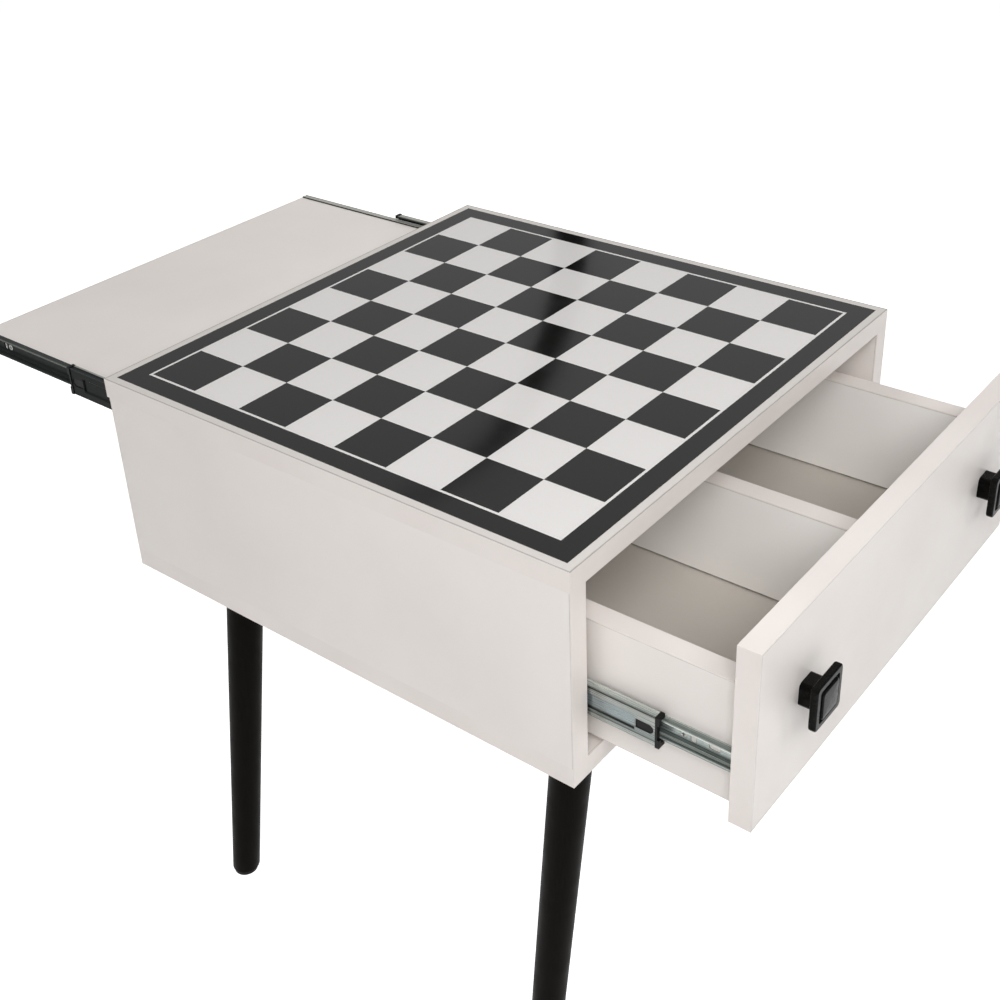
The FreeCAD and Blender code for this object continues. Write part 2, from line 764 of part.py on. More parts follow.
# Box: sides on a bottom panel, screwed from below, and a hardboard back nailed on

BOTTOM_SCREW_ROWS = (f"{FRONT} + bottom_screw_inset", "box_middle", f"{REAR} - bottom_screw_inset")
bottom_screw_spots = [
    (f"{way} * {SIDE_MIDDLE}", y, UNDERSIDE, HEAD_DOWN) for way in SIDES.values() for y in BOTTOM_SCREW_ROWS
]
nail_spots = [
    (f"{way} * {SIDE_MIDDLE}", BACK_FACE, f"{UNDERSIDE} + nail_pitch * {step}", HEAD_REAR)
    for way in SIDES.values() for step in (1, 2, 3)
]
nail_spots += [
    (f"{step} * nail_spread", BACK_FACE, f"{UNDERSIDE} + board_thick / 2", HEAD_REAR) for step in (-1, 0, 1)
]
side_spans = {"left": (f"-{HALF_TOP}", f"-{INSIDE}"), "right": (INSIDE, HALF_TOP)}
side_z = (OVER_BOTTOM, UNDER_TOP)
bottom_z = (UNDERSIDE, OVER_BOTTOM)

for side, span in side_spans.items():
    core = block(span, (BANDED_FRONT, REAR), side_z, "side_core")
    holes = copies(dowel_hole, top_dowel_spots) + copies(panel_screw_hole, bottom_screw_spots)
    holes += copies(nail_hole, nail_spots)
    holes += [on_slide(cabinet_hole_row, unit, side, "0") for unit in UNITS]
    keep(cut(core, holes), f"{side}_side_panel")

bottom_core = block(both_ways(f"{HALF_TOP} - band_thick"), (BANDED_FRONT, REAR), bottom_z, "bottom_core")
bottom_holes = copies(panel_screw_hole, bottom_screw_spots) + copies(plate_screw_hole, all_plate_screws)
keep(cut(bottom_core, bottom_holes + copies(nail_hole, nail_spots)), "bottom_panel")
side_bands = [block(span, (FRONT, BANDED_FRONT), side_z, "band") for span in side_spans.values()]
keep(group(side_bands + level_bands((FRONT, REAR), bottom_z, ("front",))), "carcass_edge_bands")
keep(group(copies(panel_screw, bottom_screw_spots)), "bottom_screws")

back_low = f"({UNDERSIDE} + back_lift)"
back_board = block(both_ways("back_width / 2"), (REAR, BACK_FACE), (back_low, f"({back_low} + back_height)"))
keep(cut(back_board, copies(nail_hole, nail_spots)), "back_panel")
keep(group(copies(nail, nail_spots)), "back_panel_nails")

# Legs: each splays out to its side on a screwed plate with an angled boss

splay = math.radians(size("leg_splay"))
leg_reach = (size("overall_height") - size("box_height")) / math.cos(splay)


def leg_radius(down):
    """The leg's radius at a distance down its axis from the box."""
    top, foot = size("leg_top_radius"), size("leg_foot_radius")
    return top + (foot - top) * down / leg_reach


def leg_blank(name):
    """A tapered leg with a chamfered top and a hole for its bolt, run on past the floor."""
    start, bevel = size("boss_drop"), size("leg_chamfer")
    bore = size("hanger_radius") + PLAY
    bore_end = size("hanger_clear") + size("hanger_length") + size("hanger_tip")
    foot = leg_reach + size("leg_foot_radius")
    return turned(name, [
        (bore, -start), (leg_radius(start) - bevel, -start), (leg_radius(start + bevel), -start - bevel),
        (leg_radius(foot), -foot), (0, -foot), (0, -bore_end), (bore, -bore_end),
    ])


def leg_plate(x, y, turn, screws):
    """A steel plate with a boss that leans with the leg, bored for the bolt and the screws."""
    plate = block(about(x, "plate_side / 2"), about(y, "plate_side / 2"),
                  (f"({UNDERSIDE} - plate_thick)", UNDERSIDE), "plate")
    boss = rod("boss_radius", "boss_drop", x, y, UNDERSIDE, turn.multiply(HEAD_DOWN), "boss")
    above = block(about(x, "plate_side"), about(y, "plate_side"), bottom_z, "above")
    bore = copies(hanger_hole, [(x, y, UNDERSIDE, turn)])
    return cut(fuse([plate, boss]), [above, *bore, *copies(plate_screw_hole, screws)], "leg_plate")


floor_z = ("-overall_height", "glide_thick")
floor_slab = block(both_ways("top_width"), both_ways("top_depth"), floor_z, "floor_slab")
plates, hangers, glides = [], [], []
for side, way in SIDES.items():
    turn = Rotation(Vector(0, 1, 0), -way * size("leg_splay"))
    x = leg_x[side]
    foot_x = f"{x} + {way} * {UNDERSIDE} * {math.tan(splay)}"
    for end, y in leg_y.items():
        leg = place(leg_blank(f"leg_blank_{end}_{side}"), x, y, UNDERSIDE, turn)
        keep(cut(leg, [floor_slab]), f"leg_{end}_{side}")
        plates.append(leg_plate(x, y, turn, plate_screw_spots[side, end]))
        hangers += copies(hanger, [(x, y, UNDERSIDE, turn)])
        glides.append(rod("glide_radius", "glide_thick", foot_x, y, "0", name="glide"))
keep(group(plates), "leg_plates")
keep(group(copies(plate_screw, all_plate_screws)), "leg_plate_screws")
keep(group(hangers), "leg_hanger_bolts")
keep(group(glides), "leg_glides")

# Drawer: a banded front dowelled to its walls and divider, a screwed back and a floor in grooves

FIX_ROWS = (f"{WALL_TOP} - wall_fix_upper", f"{WALL_TOP} - wall_fix_lower")
BACK_MIDDLE = f"({WALL_END} - board_thick / 2)"
drawer_dowel_spots = [
    (x, f"{DRAWER_START} - dowel_in_panel", z, HEAD_REAR)
    for x in (f"-{WALL_MIDDLE}", "0", WALL_MIDDLE) for z in FIX_ROWS
]
back_screw_places = [(f"-{CHANNEL}", BACK_MIDDLE, HEAD_LEFT), (CHANNEL, BACK_MIDDLE, HEAD_RIGHT)]
back_screw_places.append(("0", WALL_END, HEAD_REAR))
back_screw_spots = [(x, y, z, turn) for x, y, turn in back_screw_places for z in FIX_ROWS]
knob_x = {side: f"{way} * knob_spread" for side, way in SIDES.items()}
knob_screw_spots = [(x, DRAWER_START, KNOB_HEIGHT, HEAD_REAR) for x in knob_x.values()]
wall_spans = {"left": (f"-{CHANNEL}", f"-{WALL_INNER}"), "right": (WALL_INNER, CHANNEL)}
wall_y = (DRAWER_START, WALL_END)
wall_z = (WALL_FOOT, WALL_CORE_TOP)
wall_band_z = (WALL_CORE_TOP, WALL_TOP)


def floor_sheet(reach, top, name):
    """A sheet from the floor's underside to a height, reaching past the drawer's inside on all sides."""
    y = (f"({DRAWER_START} - {reach})", f"({BACK_WALL} + {reach})")
    return block(both_ways(f"{WALL_INNER} + {reach}"), y, (FLOOR_UNDER, top), name)


def front_bands():
    """Bands on a drawer front's four edges, the level ones running over the corners."""
    y = (DRAWER_FACE, DRAWER_START)
    x = both_ways(FRONT_HALF)
    z = (f"({FRONT_LOW} + band_thick)", f"({FRONT_HIGH} - band_thick)")
    return [
        block(x, y, (FRONT_LOW, z[0]), "band"),
        block(x, y, (z[1], FRONT_HIGH), "band"),
        block((x[0], f"({x[0]} + band_thick)"), y, z, "band"),
        block((f"({x[1]} - band_thick)", x[1]), y, z, "band"),
    ]


over_floor = f"({FLOOR_TOP} + floor_gap)"
groove = floor_sheet("groove_depth", over_floor, "floor_groove")
keep(floor_sheet("(groove_depth - groove_play)", FLOOR_TOP, "floor"), "drawer_floor")

front_core = block(both_ways(f"{FRONT_HALF} - band_thick"), (DRAWER_FACE, DRAWER_START),
                   (f"({FRONT_LOW} + band_thick)", f"({FRONT_HIGH} - band_thick)"), "front_core")
front_holes = copies(dowel_hole, drawer_dowel_spots) + copies(knob_screw_hole, knob_screw_spots)
keep(cut(front_core, [groove, *front_holes]), "drawer_front")
keep(group(front_bands()), "drawer_front_edge_bands")

wall_bands = []
for side, span in wall_spans.items():
    core = block(span, wall_y, wall_z, "wall_core")
    holes = copies(dowel_hole, drawer_dowel_spots) + copies(wall_screw_hole, back_screw_spots)
    holes.append(on_slide(inner_hole_row, "drawer", side, "drawer_out"))
    keep(cut(core, [groove, *holes]), f"drawer_{side}_wall")
    wall_bands.append(block(span, wall_y, wall_band_z, "band"))

back_x, back_y = both_ways(WALL_INNER), (BACK_WALL, WALL_END)
back_holes = copies(wall_screw_hole, back_screw_spots)
keep(cut(block(back_x, back_y, wall_z, "back_core"), [groove, *back_holes]), "drawer_back_wall")
wall_bands.append(block(back_x, back_y, wall_band_z, "band"))

divider_x, divider_y = both_ways("board_thick / 2"), (DRAWER_START, BACK_WALL)
divider_core_top = f"({DIVIDER_TOP} - band_thick)"
divider_core = block(divider_x, divider_y, (over_floor, divider_core_top), "divider_core")
divider_holes = copies(dowel_hole, drawer_dowel_spots) + copies(wall_screw_hole, back_screw_spots)
keep(cut(divider_core, divider_holes), "drawer_divider")
wall_bands.append(block(divider_x, divider_y, (divider_core_top, DIVIDER_TOP), "band"))
keep(group(wall_bands), "drawer_wall_edge_bands")
keep(group(copies(dowel_pin, drawer_dowel_spots)), "drawer_dowels")
keep(group(copies(wall_screw, back_screw_spots)), "drawer_back_screws")

# Knobs: drawn standing up on +Z, then turned to face the front

CLOSE = 0.01


def is_corner(reach):
    """A test for the upright edges at a square's corners."""
    def chosen(edge):
        box, middle = edge.BoundBox, edge.CenterOfMass
        upright = box.XLength < CLOSE and box.YLength < CLOSE
        return upright and all(abs(abs(place) - reach) < CLOSE for place in (middle.x, middle.y))
    return chosen


def is_level(height, inner, outer):
    """A test for level edges at a height, whose middle is between two distances from the axis."""
    def chosen(edge):
        middle = edge.CenterOfMass
        level = edge.BoundBox.ZLength < CLOSE and abs(middle.z - height) < CLOSE
        return level and inner < max(abs(middle.x), abs(middle.y)) < outer
    return chosen


def square_pad(body, side, length, name, lift=None):
    """A square block standing on the plane, or lifted off it."""
    sketch = sketch_on(body, "XY_Plane", name + "_outline", lift)
    square_outline(sketch, side, "side")
    return padded(body, sketch, length, name)


def knob():
    """A square knob: stem, plate with rounded corners, and a raised pad inside a groove."""
    body = doc.addObject("PartDesign::Body", "knob")
    half = size("knob_side") / 2
    face = size("stem_length") + size("knob_thick")
    stem = square_pad(body, "stem_side", "stem_length", "stem")
    rounded(body, stem, "stem_corner", is_corner(size("stem_side") / 2), "stem_corners")
    plate = square_pad(body, "knob_side", "knob_thick", "plate", "stem_length")
    corners = rounded(body, plate, "knob_corner", is_corner(half), "plate_corners")
    rim = rounded(body, corners, "knob_edge", is_level(face, half - size("knob_rim"), half + CLOSE), "rim")
    ring = sketch_on(body, "XY_Plane", "groove_outline", "stem_length + knob_thick")
    square_outline(ring, "knob_side - 2 * knob_rim", "outer")
    square_outline(ring, PAD_SIDE, "inner")
    pocket = body.newObject("PartDesign::Pocket", "groove")
    pocket.Profile = ring
    bind(pocket, "Length", "knob_groove_depth")
    doc.recompute()
    if pocket.Shape.Volume > rim.Shape.Volume - 1:
        raise RuntimeError("the knob's groove cuts nothing")
    pad = square_pad(body, PAD_SIDE, "knob_pad_rise", "pad", "stem_length + knob_thick")
    rounded(body, pad, "knob_edge", is_level(face + size("knob_pad_rise"), 0, half), "pad_edges")
    return body


bored_knob = cut(knob(), copies(knob_screw_hole, [("0", "0", "-board_thick", HEAD_DOWN)]), "bored_knob")
for side, x in knob_x.items():
    keep(copies(bored_knob, [(x, DRAWER_FACE, KNOB_HEIGHT, HEAD_FRONT)])[0], f"knob_{side}")
keep(group(copies(knob_screw, knob_screw_spots)), "knob_screws")

# Tray: a plain board between its slides, banded at both ends

tray_x, tray_z = both_ways(CHANNEL), (TRAY_UNDER, TRAY_TOP)
tray_core_y = (f"({TRAY_START} + band_thick)", f"({TRAY_END} - band_thick)")
tray_holes = [on_slide(inner_hole_row, "tray", side, "tray_out") for side in SIDES]
keep(cut(block(tray_x, tray_core_y, tray_z, "tray_core"), tray_holes), "tray_board")
tray_band_spans = ((TRAY_START, tray_core_y[0]), (tray_core_y[1], TRAY_END))
keep(group(block(tray_x, span, tray_z, "band") for span in tray_band_spans), "tray_edge_bands")

# Build, test and write every piece

doc.recompute()
failed = [item.Label for item in doc.Objects if {"Invalid", "Error"} & set(item.State)]
if failed:
    raise RuntimeError(f"these objects failed: {failed}")
shapes = {item.Label: Part.getShape(item) for item in nodes}
for label, shape in shapes.items():
    if shape.isNull() or not shape.isValid() or not shape.Solids:
        raise RuntimeError(f"{label} has no valid solid")

os.makedirs("parts", exist_ok=True)
for label, shape in shapes.items():
    solids = shape.Solids
    whole = solids[0] if len(solids) == 1 else Part.makeCompound(solids)
    whole.exportStep(f"parts/{label}.step")
    print(f"{label}: {len(solids)} solids, {sum(solid.Volume for solid in solids):.0f} mm3")
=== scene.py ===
import json
import math

import bmesh
import bpy
import numpy as np
from mathutils import Color, Matrix, Vector


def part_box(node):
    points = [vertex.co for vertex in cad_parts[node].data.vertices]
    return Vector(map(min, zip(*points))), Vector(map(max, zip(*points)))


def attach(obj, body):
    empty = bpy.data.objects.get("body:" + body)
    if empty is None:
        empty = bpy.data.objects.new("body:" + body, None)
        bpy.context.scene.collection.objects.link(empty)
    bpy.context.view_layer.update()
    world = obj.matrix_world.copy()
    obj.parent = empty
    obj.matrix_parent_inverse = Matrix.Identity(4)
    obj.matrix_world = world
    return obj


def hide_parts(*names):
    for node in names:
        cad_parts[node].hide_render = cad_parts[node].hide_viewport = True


# Looks of the chess table: white laminate, a glossy inlaid board, zinc and black slides, black legs.
# Everything is in metres, in the frame of the model: +Z up, the drawer towards -Y, the tray towards +Y.

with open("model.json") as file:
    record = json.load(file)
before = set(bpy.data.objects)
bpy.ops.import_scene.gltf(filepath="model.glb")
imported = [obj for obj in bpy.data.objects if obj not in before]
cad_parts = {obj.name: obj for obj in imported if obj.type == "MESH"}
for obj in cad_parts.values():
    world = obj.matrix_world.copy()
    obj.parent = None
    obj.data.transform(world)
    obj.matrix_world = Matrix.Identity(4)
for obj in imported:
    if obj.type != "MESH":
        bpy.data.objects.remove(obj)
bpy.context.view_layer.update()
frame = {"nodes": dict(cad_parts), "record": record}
nodes = frame["nodes"]
MM = 0.001
slot_of = {row["node"]: row["material_slot"] for row in frame["record"]["subparts"]}


# Short ways to write a material's nodes
SCREEN_WHITE = 255
ARRIS = 0.35 * MM
ARRIS_SAMPLES = 4


def paint(red, green, blue):
    """A colour as a screen shows it, 0 to 255, turned into the light that it stands for."""
    shown = Color((red / SCREEN_WHITE, green / SCREEN_WHITE, blue / SCREEN_WHITE))
    return (*shown.from_srgb_to_scene_linear(), 1.0)


def feed(tree, socket, value):
    """Set an input to a value, or join it to another node's output."""
    if isinstance(value, bpy.types.NodeSocket):
        tree.links.new(value, socket)
    else:
        socket.default_value = value


def add(tree, kind, values=(), **settings):
    """A node with its settings and its inputs."""
    node = tree.nodes.new("ShaderNode" + kind)
    for key, setting in settings.items():
        setattr(node, key, setting)
    for key, value in dict(values).items():
        feed(tree, node.inputs[key], value)
    return node


def maths(tree, operation, *values):
    """One step of arithmetic on numbers."""
    return add(tree, "Math", dict(enumerate(values)), operation=operation).outputs[0]


def vector_maths(tree, operation, *values):
    """One step of arithmetic on vectors."""
    return add(tree, "VectorMath", dict(enumerate(values)), operation=operation).outputs[0]


def spot(tree):
    """The piece's own coordinates."""
    return add(tree, "TexCoord").outputs["Object"]


def clouds(tree, scale, detail=2.0, stretch=(1, 1, 1)):
    """Soft noise from 0 to 1 over a piece's own coordinates: its scale per metre, detail and stretch."""
    spread = add(tree, "Mapping", {"Vector": spot(tree), "Scale": stretch}).outputs["Vector"]
    return add(tree, "TexNoise", {"Vector": spread, "Scale": scale, "Detail": detail}).outputs["Fac"]


def between(tree, share, low, high, start=0.3, end=0.7):
    """A number that runs from low to high while a share runs from start to end."""
    values = {"Value": share, "From Min": start, "From Max": end, "To Min": low, "To Max": high}
    return add(tree, "MapRange", values).outputs["Result"]


def tinted(tree, share, first, second):
    """A colour that goes from the first to the second as a share goes from 0 to 1."""
    mix = add(tree, "Mix", {0: share}, data_type="RGBA")
    ends = [socket for socket in mix.inputs if socket.type == "RGBA"]
    feed(tree, ends[0], first)
    feed(tree, ends[1], second)
    return next(socket for socket in mix.outputs if socket.type == "RGBA")


def mottled(tree, share, first, second):
    """A colour that wanders between two with a noise."""
    return tinted(tree, between(tree, share, 0, 1), first, second)


def finish(name, values, build):
    """A material: the shader's values that are the same all over, and a function that joins the rest.

    The function gets the node tree and gives the colour, the roughness and the relief. The relief is a list
    of layers, each a height from 0 to 1 and its depth in metres, on arrises that are rounded to the eye.
    """
    material = bpy.data.materials.new(name)
    material.use_nodes = True
    tree = material.node_tree
    shader = tree.nodes["Principled BSDF"]
    for key, value in values.items():
        shader.inputs[key].default_value = value
    colour, roughness, layers = build(tree)
    normal = add(tree, "Bevel", {"Radius": ARRIS}, samples=ARRIS_SAMPLES).outputs["Normal"]
    for height, depth in layers:
        normal = add(tree, "Bump", {"Height": height, "Distance": depth, "Normal": normal}).outputs["Normal"]
    tree.links.new(colour, shader.inputs["Base Color"])
    tree.links.new(roughness, shader.inputs["Roughness"])
    tree.links.new(normal, shader.inputs["Normal"])
    return material


# White laminate and its edging: pairs of tones, noises, and the least and most roughness
SEAM_WIDTH = 0.35 * MM
SEAM_FADE = 0.2 * MM
# Height of the painted shade line round the drawer's floor
FLOOR_SHADE_HEIGHT = 1.7 * MM
FLOOR_WALLS = ("drawer_left_wall", "drawer_right_wall", "drawer_divider")
SIDE_PANELS = ("left_side_panel", "right_side_panel")
UP_FROM = 0.4
UP_TO = 0.6
# A darker white painted on the top's up-facing face, as painted shade
RIM_SHADED_WHITE = paint(219, 214, 209)
RIM_LINE = paint(176, 171, 166)
LAMINATE_WHITE = (paint(237, 230, 225), paint(242, 236, 231))
# A brighter white painted on the faces inside the drawer, as painted light
INSIDE_LIT_WHITE = (paint(246, 242, 238), paint(249, 246, 242))
GLUE_GREY = (paint(190, 184, 178), paint(228, 221, 215))
# Grey of the painted shade line where the walls meet the drawer's floor
FLOOR_SHADE_GREY = (paint(128, 121, 115), paint(176, 169, 162))
LAMINATE_CLOUDS = (7.0, 3.0)
GLUE_CLOUDS = (50.0, 3.0)
FLOOR_SHADE_CLOUDS = (90.0, 3.0)
LAMINATE_PATCHES = (60.0,)
LAMINATE_ROUGHNESS = (0.36, 0.46)
LAMINATE_GLOSS = 0.4
PEARL = (1100.0,)
PEARL_DEPTH = 0.01 * MM
BAND_WHITE = (paint(236, 228, 223), paint(241, 234, 229))
BAND_CLOUDS = (12.0,)
BAND_PATCHES = (90.0,)
BAND_ROUGHNESS = (0.32, 0.42)
BAND_GLOSS = 0.42
BAND_LINES = (5.0, 2.0, (2, 2, 260))
BAND_LINE_DEPTH = 0.01 * MM


def arris_distance(tree, node):
    """How far a point on a panel is from its nearest arris.

    That is the middle one of its three depths from the pairs of faces. On a side panel only the upright
    arrises count, because its ends are joined flush.
    """
    low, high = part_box(node)
    offset = vector_maths(tree, "SUBTRACT", spot(tree), (low + high) / 2)
    depth = vector_maths(tree, "SUBTRACT", (high - low) / 2, vector_maths(tree, "ABSOLUTE", offset))
    x, y, z = add(tree, "SeparateXYZ", {"Vector": depth}).outputs
    most = maths(tree, "MAXIMUM", x, y)
    if node in SIDE_PANELS:
        return most
    return maths(tree, "MAXIMUM", maths(tree, "MINIMUM", x, y), maths(tree, "MINIMUM", most, z))


def drawer_inside(tree):
    """1 on the faces inside the drawer, and 0 elsewhere."""
    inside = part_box("drawer_right_wall")[0].x + SEAM_FADE
    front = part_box("drawer_front")[1].y - SEAM_FADE
    x, y, _ = add(tree, "SeparateXYZ", {"Vector": spot(tree)}).outputs
    between_walls = maths(tree, "LESS_THAN", maths(tree, "ABSOLUTE", x), inside)
    return maths(tree, "MULTIPLY", between_walls, maths(tree, "GREATER_THAN", y, front))


# Where the painted shade line round the drawer's floor goes
def floor_line(tree):
    """1 in the narrow line just over the drawer's floor, on the faces inside the drawer, and 0 elsewhere."""
    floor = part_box("drawer_floor")[1].z
    z = add(tree, "SeparateXYZ", {"Vector": spot(tree)}).outputs["Z"]
    low_down = between(tree, z, 1, 0, floor + FLOOR_SHADE_HEIGHT, floor + FLOOR_SHADE_HEIGHT + SEAM_FADE)
    return maths(tree, "MULTIPLY", low_down, drawer_inside(tree))


def upward(tree):
    """How far a face looks up: 1 for a level top, 0 for an upright side and -1 for an underside."""
    normal = add(tree, "NewGeometry").outputs["True Normal"]
    return add(tree, "SeparateXYZ", {"Vector": normal}).outputs["Z"]


def facing_up(tree):
    """1 on faces that look up, and 0 elsewhere."""
    return between(tree, upward(tree), 0, 1, UP_FROM, UP_TO)


def white_laminate(node):
    """Satin white melamine: a faint warm cloud, a fine pearl, and a thin line of glue at the arrises.

    The faces inside the drawer are painted a brighter white, as painted light, with a line of painted shade
    round the floor.
    The top's face that looks up is painted a little darker, as painted shade.
    """
    def build(tree):
        cloudy = clouds(tree, *LAMINATE_CLOUDS)
        face = mottled(tree, cloudy, *LAMINATE_WHITE)
        if node.startswith("drawer"):
            # Inside the drawer the laminate is painted brighter, as painted light
            face = tinted(tree, drawer_inside(tree), face, mottled(tree, cloudy, *INSIDE_LIT_WHITE))
        if node.startswith("top"):
            # The top's up-facing face is painted darker, as painted shade
            face = tinted(tree, facing_up(tree), face, RIM_SHADED_WHITE)
        seam = between(tree, arris_distance(tree, node), 1, 0, SEAM_WIDTH, SEAM_WIDTH + SEAM_FADE)
        colour = tinted(tree, seam, face, mottled(tree, clouds(tree, *GLUE_CLOUDS), *GLUE_GREY))
        if node in FLOOR_WALLS:
            # A painted shade line along the foot of the walls and the divider, where the floor meets them
            floor_shade = mottled(tree, clouds(tree, *FLOOR_SHADE_CLOUDS), *FLOOR_SHADE_GREY)
            colour = tinted(tree, floor_line(tree), colour, floor_shade)
        roughness = between(tree, clouds(tree, *LAMINATE_PATCHES), *LAMINATE_ROUGHNESS)
        return colour, roughness, [(clouds(tree, *PEARL), PEARL_DEPTH)]
    return finish("white_laminate_" + node, {"Specular IOR Level": LAMINATE_GLOSS}, build)


def edge_band(node):
    """Plastic edging: a touch warmer than the laminate, with faint lines left by its trimming.

    Round the top it shows as a thin line of glue along the rim.
    """
    def build(tree):
        colour = mottled(tree, clouds(tree, *BAND_CLOUDS), *BAND_WHITE)
        if node.startswith("top"):
            colour = tinted(tree, facing_up(tree), colour, RIM_LINE)
        roughness = between(tree, clouds(tree, *BAND_PATCHES), *BAND_ROUGHNESS)
        return colour, roughness, [(clouds(tree, *BAND_LINES), BAND_LINE_DEPTH)]
    return finish("edge_band_" + node, {"Specular IOR Level": BAND_GLOSS}, build)


# The inlaid board
BOARD_BLACK = (paint(14, 13, 12), paint(21, 20, 19))
BOARD_WHITE = (paint(233, 230, 228), paint(235, 232, 230))
BOARD_SPECKS = (900.0,)
BOARD_PATCHES = (26.0, 3.0)
BOARD_ROUGHNESS = (0.07, 0.11)
BOARD_GLOSS = 0.5
BOARD_WAVES = (9.0, 1.0)
BOARD_WAVE_DEPTH = 0.05 * MM


def board_gloss(name, tones):
    """Polished laminate of the inlay: a nearly even colour, a mirror gloss and a very slight waviness."""
    def build(tree):
        colour = mottled(tree, clouds(tree, *BOARD_SPECKS), *tones)
        roughness = between(tree, clouds(tree, *BOARD_PATCHES), *BOARD_ROUGHNESS)
        return colour, roughness, [(clouds(tree, *BOARD_WAVES), BOARD_WAVE_DEPTH)]
    return finish(name, {"Specular IOR Level": BOARD_GLOSS}, build)


def board_black(node):
    """The inlay's dark squares and border."""
    return board_gloss("board_black_" + node, BOARD_BLACK)


def board_white(node):
    """The inlay's light squares and line."""
    return board_gloss("board_white_" + node, BOARD_WHITE)


# Hardboard
HARDBOARD_FACE = (paint(197, 191, 183), paint(204, 198, 190))
HARDBOARD_BARE = (paint(112, 84, 58), paint(150, 118, 86))
HARDBOARD_CLOUDS = (9.0,)
HARDBOARD_ROUGHNESS = (0.5, 0.66)
HARDBOARD_GLOSS = 0.3
FIBRES = (420.0, 4.0, (1, 0.35, 1))
FIBRE_DEPTH = 0.02 * MM


def hardboard(node):
    """White-faced hardboard: its underside is bare brown fibre."""
    def build(tree):
        fibres = clouds(tree, *FIBRES)
        face = mottled(tree, clouds(tree, *HARDBOARD_CLOUDS), *HARDBOARD_FACE)
        bare = mottled(tree, fibres, *HARDBOARD_BARE)
        colour = tinted(tree, between(tree, upward(tree), 0, 1, -UP_TO, -UP_FROM), bare, face)
        return colour, between(tree, fibres, *HARDBOARD_ROUGHNESS), [(fibres, FIBRE_DEPTH)]
    return finish("hardboard_" + node, {"Specular IOR Level": HARDBOARD_GLOSS}, build)


# Black finishes of the legs, their plates, the plastic ends and the knobs
LEG_TONES = (paint(9, 7, 5), paint(15, 12, 9))
LEG_PATCHES = (60.0,)
LEG_ROUGHNESS = (0.4, 0.52)
LEG_IOR = 1.12
LEG_GRAIN = (30.0, 4.0, (18, 18, 0.8))
LEG_GRAIN_DEPTH = 0.05 * MM
LEG_SKIN = (700.0,)
LEG_SKIN_DEPTH = 0.01 * MM
LEG_PLATE_TONES = (paint(20, 20, 20), paint(38, 37, 36))
LEG_PLATE_ROUGHNESS = (0.42, 0.6)
LEG_PLATE_GLOSS = 0.35
PEBBLE = (1500.0,)
PEBBLE_DEPTH = 0.05 * MM
PLASTIC_TONES = (paint(9, 9, 9), paint(17, 17, 16))
PLASTIC_ROUGHNESS = (0.4, 0.55)
PLASTIC_IOR = 1.25
PLASTIC_GRAIN = (1800.0,)
PLASTIC_GRAIN_DEPTH = 0.02 * MM
KNOB_TONES = (paint(9, 9, 8), paint(16, 16, 15))
KNOB_CLOUDS = (140.0,)
KNOB_PATCHES = (200.0,)
KNOB_ROUGHNESS = (0.2, 0.3)
KNOB_IOR = 1.16
ORANGE_PEEL = (420.0, 1.0)
ORANGE_PEEL_DEPTH = 0.02 * MM


def leg_black(node):
    """Satin black lacquer over turned wood: the grain shows as faint lines along the leg."""
    def build(tree):
        lines = clouds(tree, *LEG_GRAIN)
        roughness = between(tree, clouds(tree, *LEG_PATCHES), *LEG_ROUGHNESS)
        relief = [(lines, LEG_GRAIN_DEPTH), (clouds(tree, *LEG_SKIN), LEG_SKIN_DEPTH)]
        return mottled(tree, lines, *LEG_TONES), roughness, relief
    return finish("leg_black_" + node, {"IOR": LEG_IOR}, build)


def leg_plate_steel(node):
    """Black powder coat: a fine pebbled skin."""
    def build(tree):
        pebble = clouds(tree, *PEBBLE)
        roughness = between(tree, pebble, *LEG_PLATE_ROUGHNESS)
        return mottled(tree, pebble, *LEG_PLATE_TONES), roughness, [(pebble, PEBBLE_DEPTH)]
    return finish("leg_plate_steel", {"Specular IOR Level": LEG_PLATE_GLOSS}, build)


def black_plastic(node):
    """Moulded black plastic with a light grain."""
    def build(tree):
        grain = clouds(tree, *PLASTIC_GRAIN)
        roughness = between(tree, grain, *PLASTIC_ROUGHNESS)
        return mottled(tree, grain, *PLASTIC_TONES), roughness, [(grain, PLASTIC_GRAIN_DEPTH)]
    return finish("plastic_" + node, {"IOR": PLASTIC_IOR}, build)


def knob_black(node):
    """Black lacquer on cast metal: satin, with a slight orange peel."""
    def build(tree):
        colour = mottled(tree, clouds(tree, *KNOB_CLOUDS), *KNOB_TONES)
        roughness = between(tree, clouds(tree, *KNOB_PATCHES), *KNOB_ROUGHNESS)
        return colour, roughness, [(clouds(tree, *ORANGE_PEEL), ORANGE_PEEL_DEPTH)]
    return finish("knob_black_" + node, {"IOR": KNOB_IOR}, build)


# Tones of the rails' sheet, many of them painted highlights, reflections and shade: zinc from bright to dark,
# and black coat from dark to its palest painted sheen
ZINC_HIGHLIGHT = (218, 224, 220)
ZINC_PALE = (190, 198, 195)
ZINC_WEB = (172, 181, 178)
ZINC_FACE = (158, 162, 159)
ZINC_BLUE = (144, 154, 156)
ZINC_SHADED = (120, 129, 126)
ZINC_GROOVE_SHADE = (84, 87, 87)
ZINC_SHADE_LINE = (46, 48, 46)
COAT_DARK = (14, 18, 18)
COAT_SHEEN_LOW = (42, 46, 46)
COAT_GREY = (62, 66, 66)
COAT_SHEEN_MID = (104, 106, 102)
COAT_SHEEN_HIGH = (146, 147, 143)
COAT_PALE = (192, 191, 186)

# Tones by height from a rail's middle in millimetres, from its foot to its head
RAIL_TALLEST = 17.5
